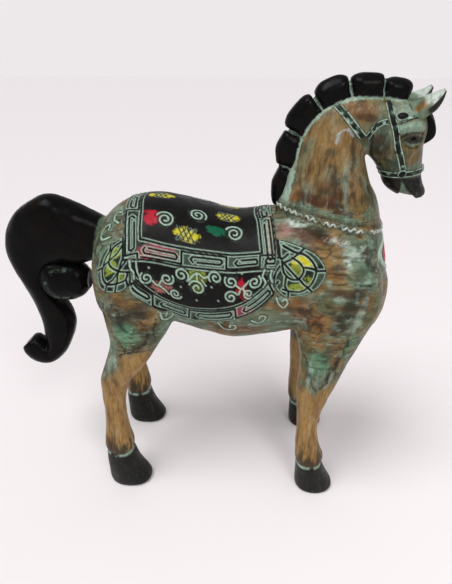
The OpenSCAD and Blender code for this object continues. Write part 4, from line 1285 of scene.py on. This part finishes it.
# ------------------------------------- beaded rope round the foot of the neck
BEAD_RINGS, BEAD_SIDES, BEAD_SPACING, BEAD_LEAN = 8, 12, 3.4, 48
ROPE_X, ROPE_Z, ROPE_DROP, ROPE_RAY, ROPE_STEPS = 115, 368.5, 3.2, 150, 240
BEAD_HALF_LONG, BEAD_HALF_WIDE, BEAD_HIGH, BEAD_LIFT = 3.3, 1.25, 1.5, 0.9
whole_tree = tree_of(np.concatenate([body.v, neck_v]),
                     body.q.tolist() + [[k + len(body.v) for k in q] for q in neck_f])
centre = np.array([ROPE_X - MID, 0, ROPE_Z]) - np.array(seat_up) * ROPE_DROP
rope = []
for k in range(ROPE_STEPS + 1):
    a = 2 * math.pi * k / ROPE_STEPS
    w = seat_dir * math.cos(a) + np.array([0, math.sin(a), 0])
    got = whole_tree.ray_cast(Vector(centre + w * ROPE_RAY), Vector(-w))
    rope.append(np.array(got[0]))
rope = np.array(rope)
arc = np.concatenate([[0], np.cumsum(np.linalg.norm(np.diff(rope, axis=0), axis=1))])
count = int(arc[-1] / BEAD_SPACING) // 2 * 2
verts, faces = [], []
for k in range(count):
    at, ahead = ([np.interp(arc[-1] * (k + d) / count, arc, rope[:, j]) for j in range(3)] for d in (0, 0.5))
    t = unit(np.array(ahead) - at)
    n = np.array(at) - centre
    n = unit(n - t * (n @ t))
    b = np.cross(t, n)
    lean = math.radians(BEAD_LEAN if k % 2 else -BEAD_LEAN)
    t, b = t * math.cos(lean) + b * math.sin(lean), b * math.cos(lean) - t * math.sin(lean)
    n0 = len(verts)
    for i in range(BEAD_RINGS + 1):
        for j in range(BEAD_SIDES):
            th, ph = math.pi * i / BEAD_RINGS, 2 * math.pi * j / BEAD_SIDES
            verts.append(at + t * BEAD_HALF_LONG * math.cos(th)
                         + b * BEAD_HALF_WIDE * math.sin(th) * math.cos(ph)
                         + n * (BEAD_LIFT + BEAD_HIGH * math.sin(th) * math.sin(ph)))
    faces += tube_faces(BEAD_RINGS + 1, BEAD_SIDES, n0)
bm = bmesh_of(verts, faces)
bmesh.ops.remove_doubles(bm, verts=bm.verts, dist=0.01)
bv, bf = arrays_of(bm)
col = mix(np.broadcast_to(CHALK_AND_HIGHLIGHT * 0.8, bv.shape), OLIVE, 0.85 * step(0.46, 0.62, noise(bv, 5, 321, 3)))
finish_piece("neck_beading", bv, bf, col, INLAY)

# -------------------------- red drop carved on the middle of the breast
DROP_TOP, DROP_BOTTOM, DROP_HALF, BEFORE_BREAST = 347, 294, 60, 320
turn = 2 * np.pi * np.arange(40) / 40
DROP = np.stack([DROP_HALF * np.sin(turn) * np.sin(turn / 2) ** 1.3,
                 (DROP_TOP + DROP_BOTTOM) / 2 - (DROP_TOP - DROP_BOTTOM) / 2 * np.cos(turn)], 1)
drop_mid = np.array([0, 324.0])
# share of the way out from the drop's middle, and height above the skin
PROFILE = ((0.0, 1.3), (0.25, 1.3), (0.5, 1.1), (0.68, 0.7), (0.74, 0.1), (0.79, 0.2), (0.84, 1.1),
           (0.92, 1.2), (0.97, 0.6), (1.0, -1.4))
verts, tone = [], []
for t, h in PROFILE:
    for y, z in drop_mid + (DROP - drop_mid) * max(t, 0.02):
        got = whole_tree.ray_cast(Vector((BEFORE_BREAST, y, z)), Vector((-1, 0, 0)))
        verts.append(np.array(got[0]) + np.array(got[1]) * h)
        tone.append(t)
faces = tube_faces(len(PROFILE), len(DROP)) + end_caps(len(PROFILE), len(DROP))
verts, tone = np.array(verts), np.array(tone)
col = mix(RED * (0.8 + 0.5 * noise(verts, 6, 331, 3))[:, None], BLACK, step(0.70, 0.75, tone))
col = mix(col, PALE_MINT, step(0.80, 0.84, tone) * step(0.3, 0.5, noise(verts, 4, 333, 3) + 0.15))
finish_piece("breast_drop", verts, faces, col, INLAY)

# ------------------------------------------------- carried-over CAD dowels
for name in ("neck_dowels", "leg_dowels", "tail_dowel", "mane_dowels", "curl_dowel", "ear_pegs"):
    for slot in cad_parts[name].material_slots:
        slot.material = BARE

# --------------------------------------------------------- floor and light
FLOOR_HALF, SKY_STRENGTH = 6, 0.50
FLOOR_COLOUR, LOW_SKY, HIGH_SKY = (0.84, 0.80, 0.81, 1), (1.70, 1.62, 1.65, 1), (0.95, 0.93, 0.94, 1)
fm = bpy.data.materials.new("pale_floor")
fm.use_nodes = True
bsdf = fm.node_tree.nodes["Principled BSDF"]
bsdf.inputs["Base Color"].default_value = FLOOR_COLOUR
bsdf.inputs["Roughness"].default_value = 0.85
me = bpy.data.meshes.new("floor")
me.from_pydata([(FLOOR_HALF * i, FLOOR_HALF * j, 0) for i, j in ((-1, -1), (1, -1), (1, 1), (-1, 1))],
               [], [(0, 1, 2, 3)])
me.materials.append(fm)
floor = bpy.data.objects.new("floor", me)
bpy.context.scene.collection.objects.link(floor)

world = bpy.data.worlds.new("soft_room")
world.use_nodes = True
wnt = world.node_tree
sky = wnt.nodes["Background"]
sky.inputs["Strength"].default_value = SKY_STRENGTH
sky_way = wnt.nodes.new("ShaderNodeTexCoord")
parted = wnt.nodes.new("ShaderNodeSeparateXYZ")
fade = wnt.nodes.new("ShaderNodeMapRange")
for key, v in (("From Min", 0.05), ("From Max", 0.35)):
    fade.inputs[key].default_value = v
tint = wnt.nodes.new("ShaderNodeMix")
tint.data_type = "RGBA"
tint.inputs[6].default_value = LOW_SKY
tint.inputs[7].default_value = HIGH_SKY
wnt.links.new(sky_way.outputs["Generated"], parted.inputs[0])
wnt.links.new(parted.outputs["Z"], fade.inputs["Value"])
wnt.links.new(fade.outputs["Result"], tint.inputs[0])
wnt.links.new(tint.outputs[2], sky.inputs["Color"])
bpy.context.scene.world = world


def lamp(name, kind, way, at=(0, 0, 0), **values):
    data = bpy.data.lights.new(name, kind)
    for key, value in values.items():
        setattr(data, key, value)
    ob = bpy.data.objects.new(name, data)
    ob.location = at
    aim(ob, way)
    bpy.context.scene.collection.objects.link(ob)


KEY_AT, KEY_TO = Vector((0.55, -1.2, 1.6)), Vector((0, 0, 0.25))
lamp("key", "AREA", KEY_TO - KEY_AT, KEY_AT, shape="SQUARE", size=0.6, energy=9)
lamp("wide_soft_lamp", "SUN", (0.35, 0.25, -1), energy=1.75, angle=0.55)
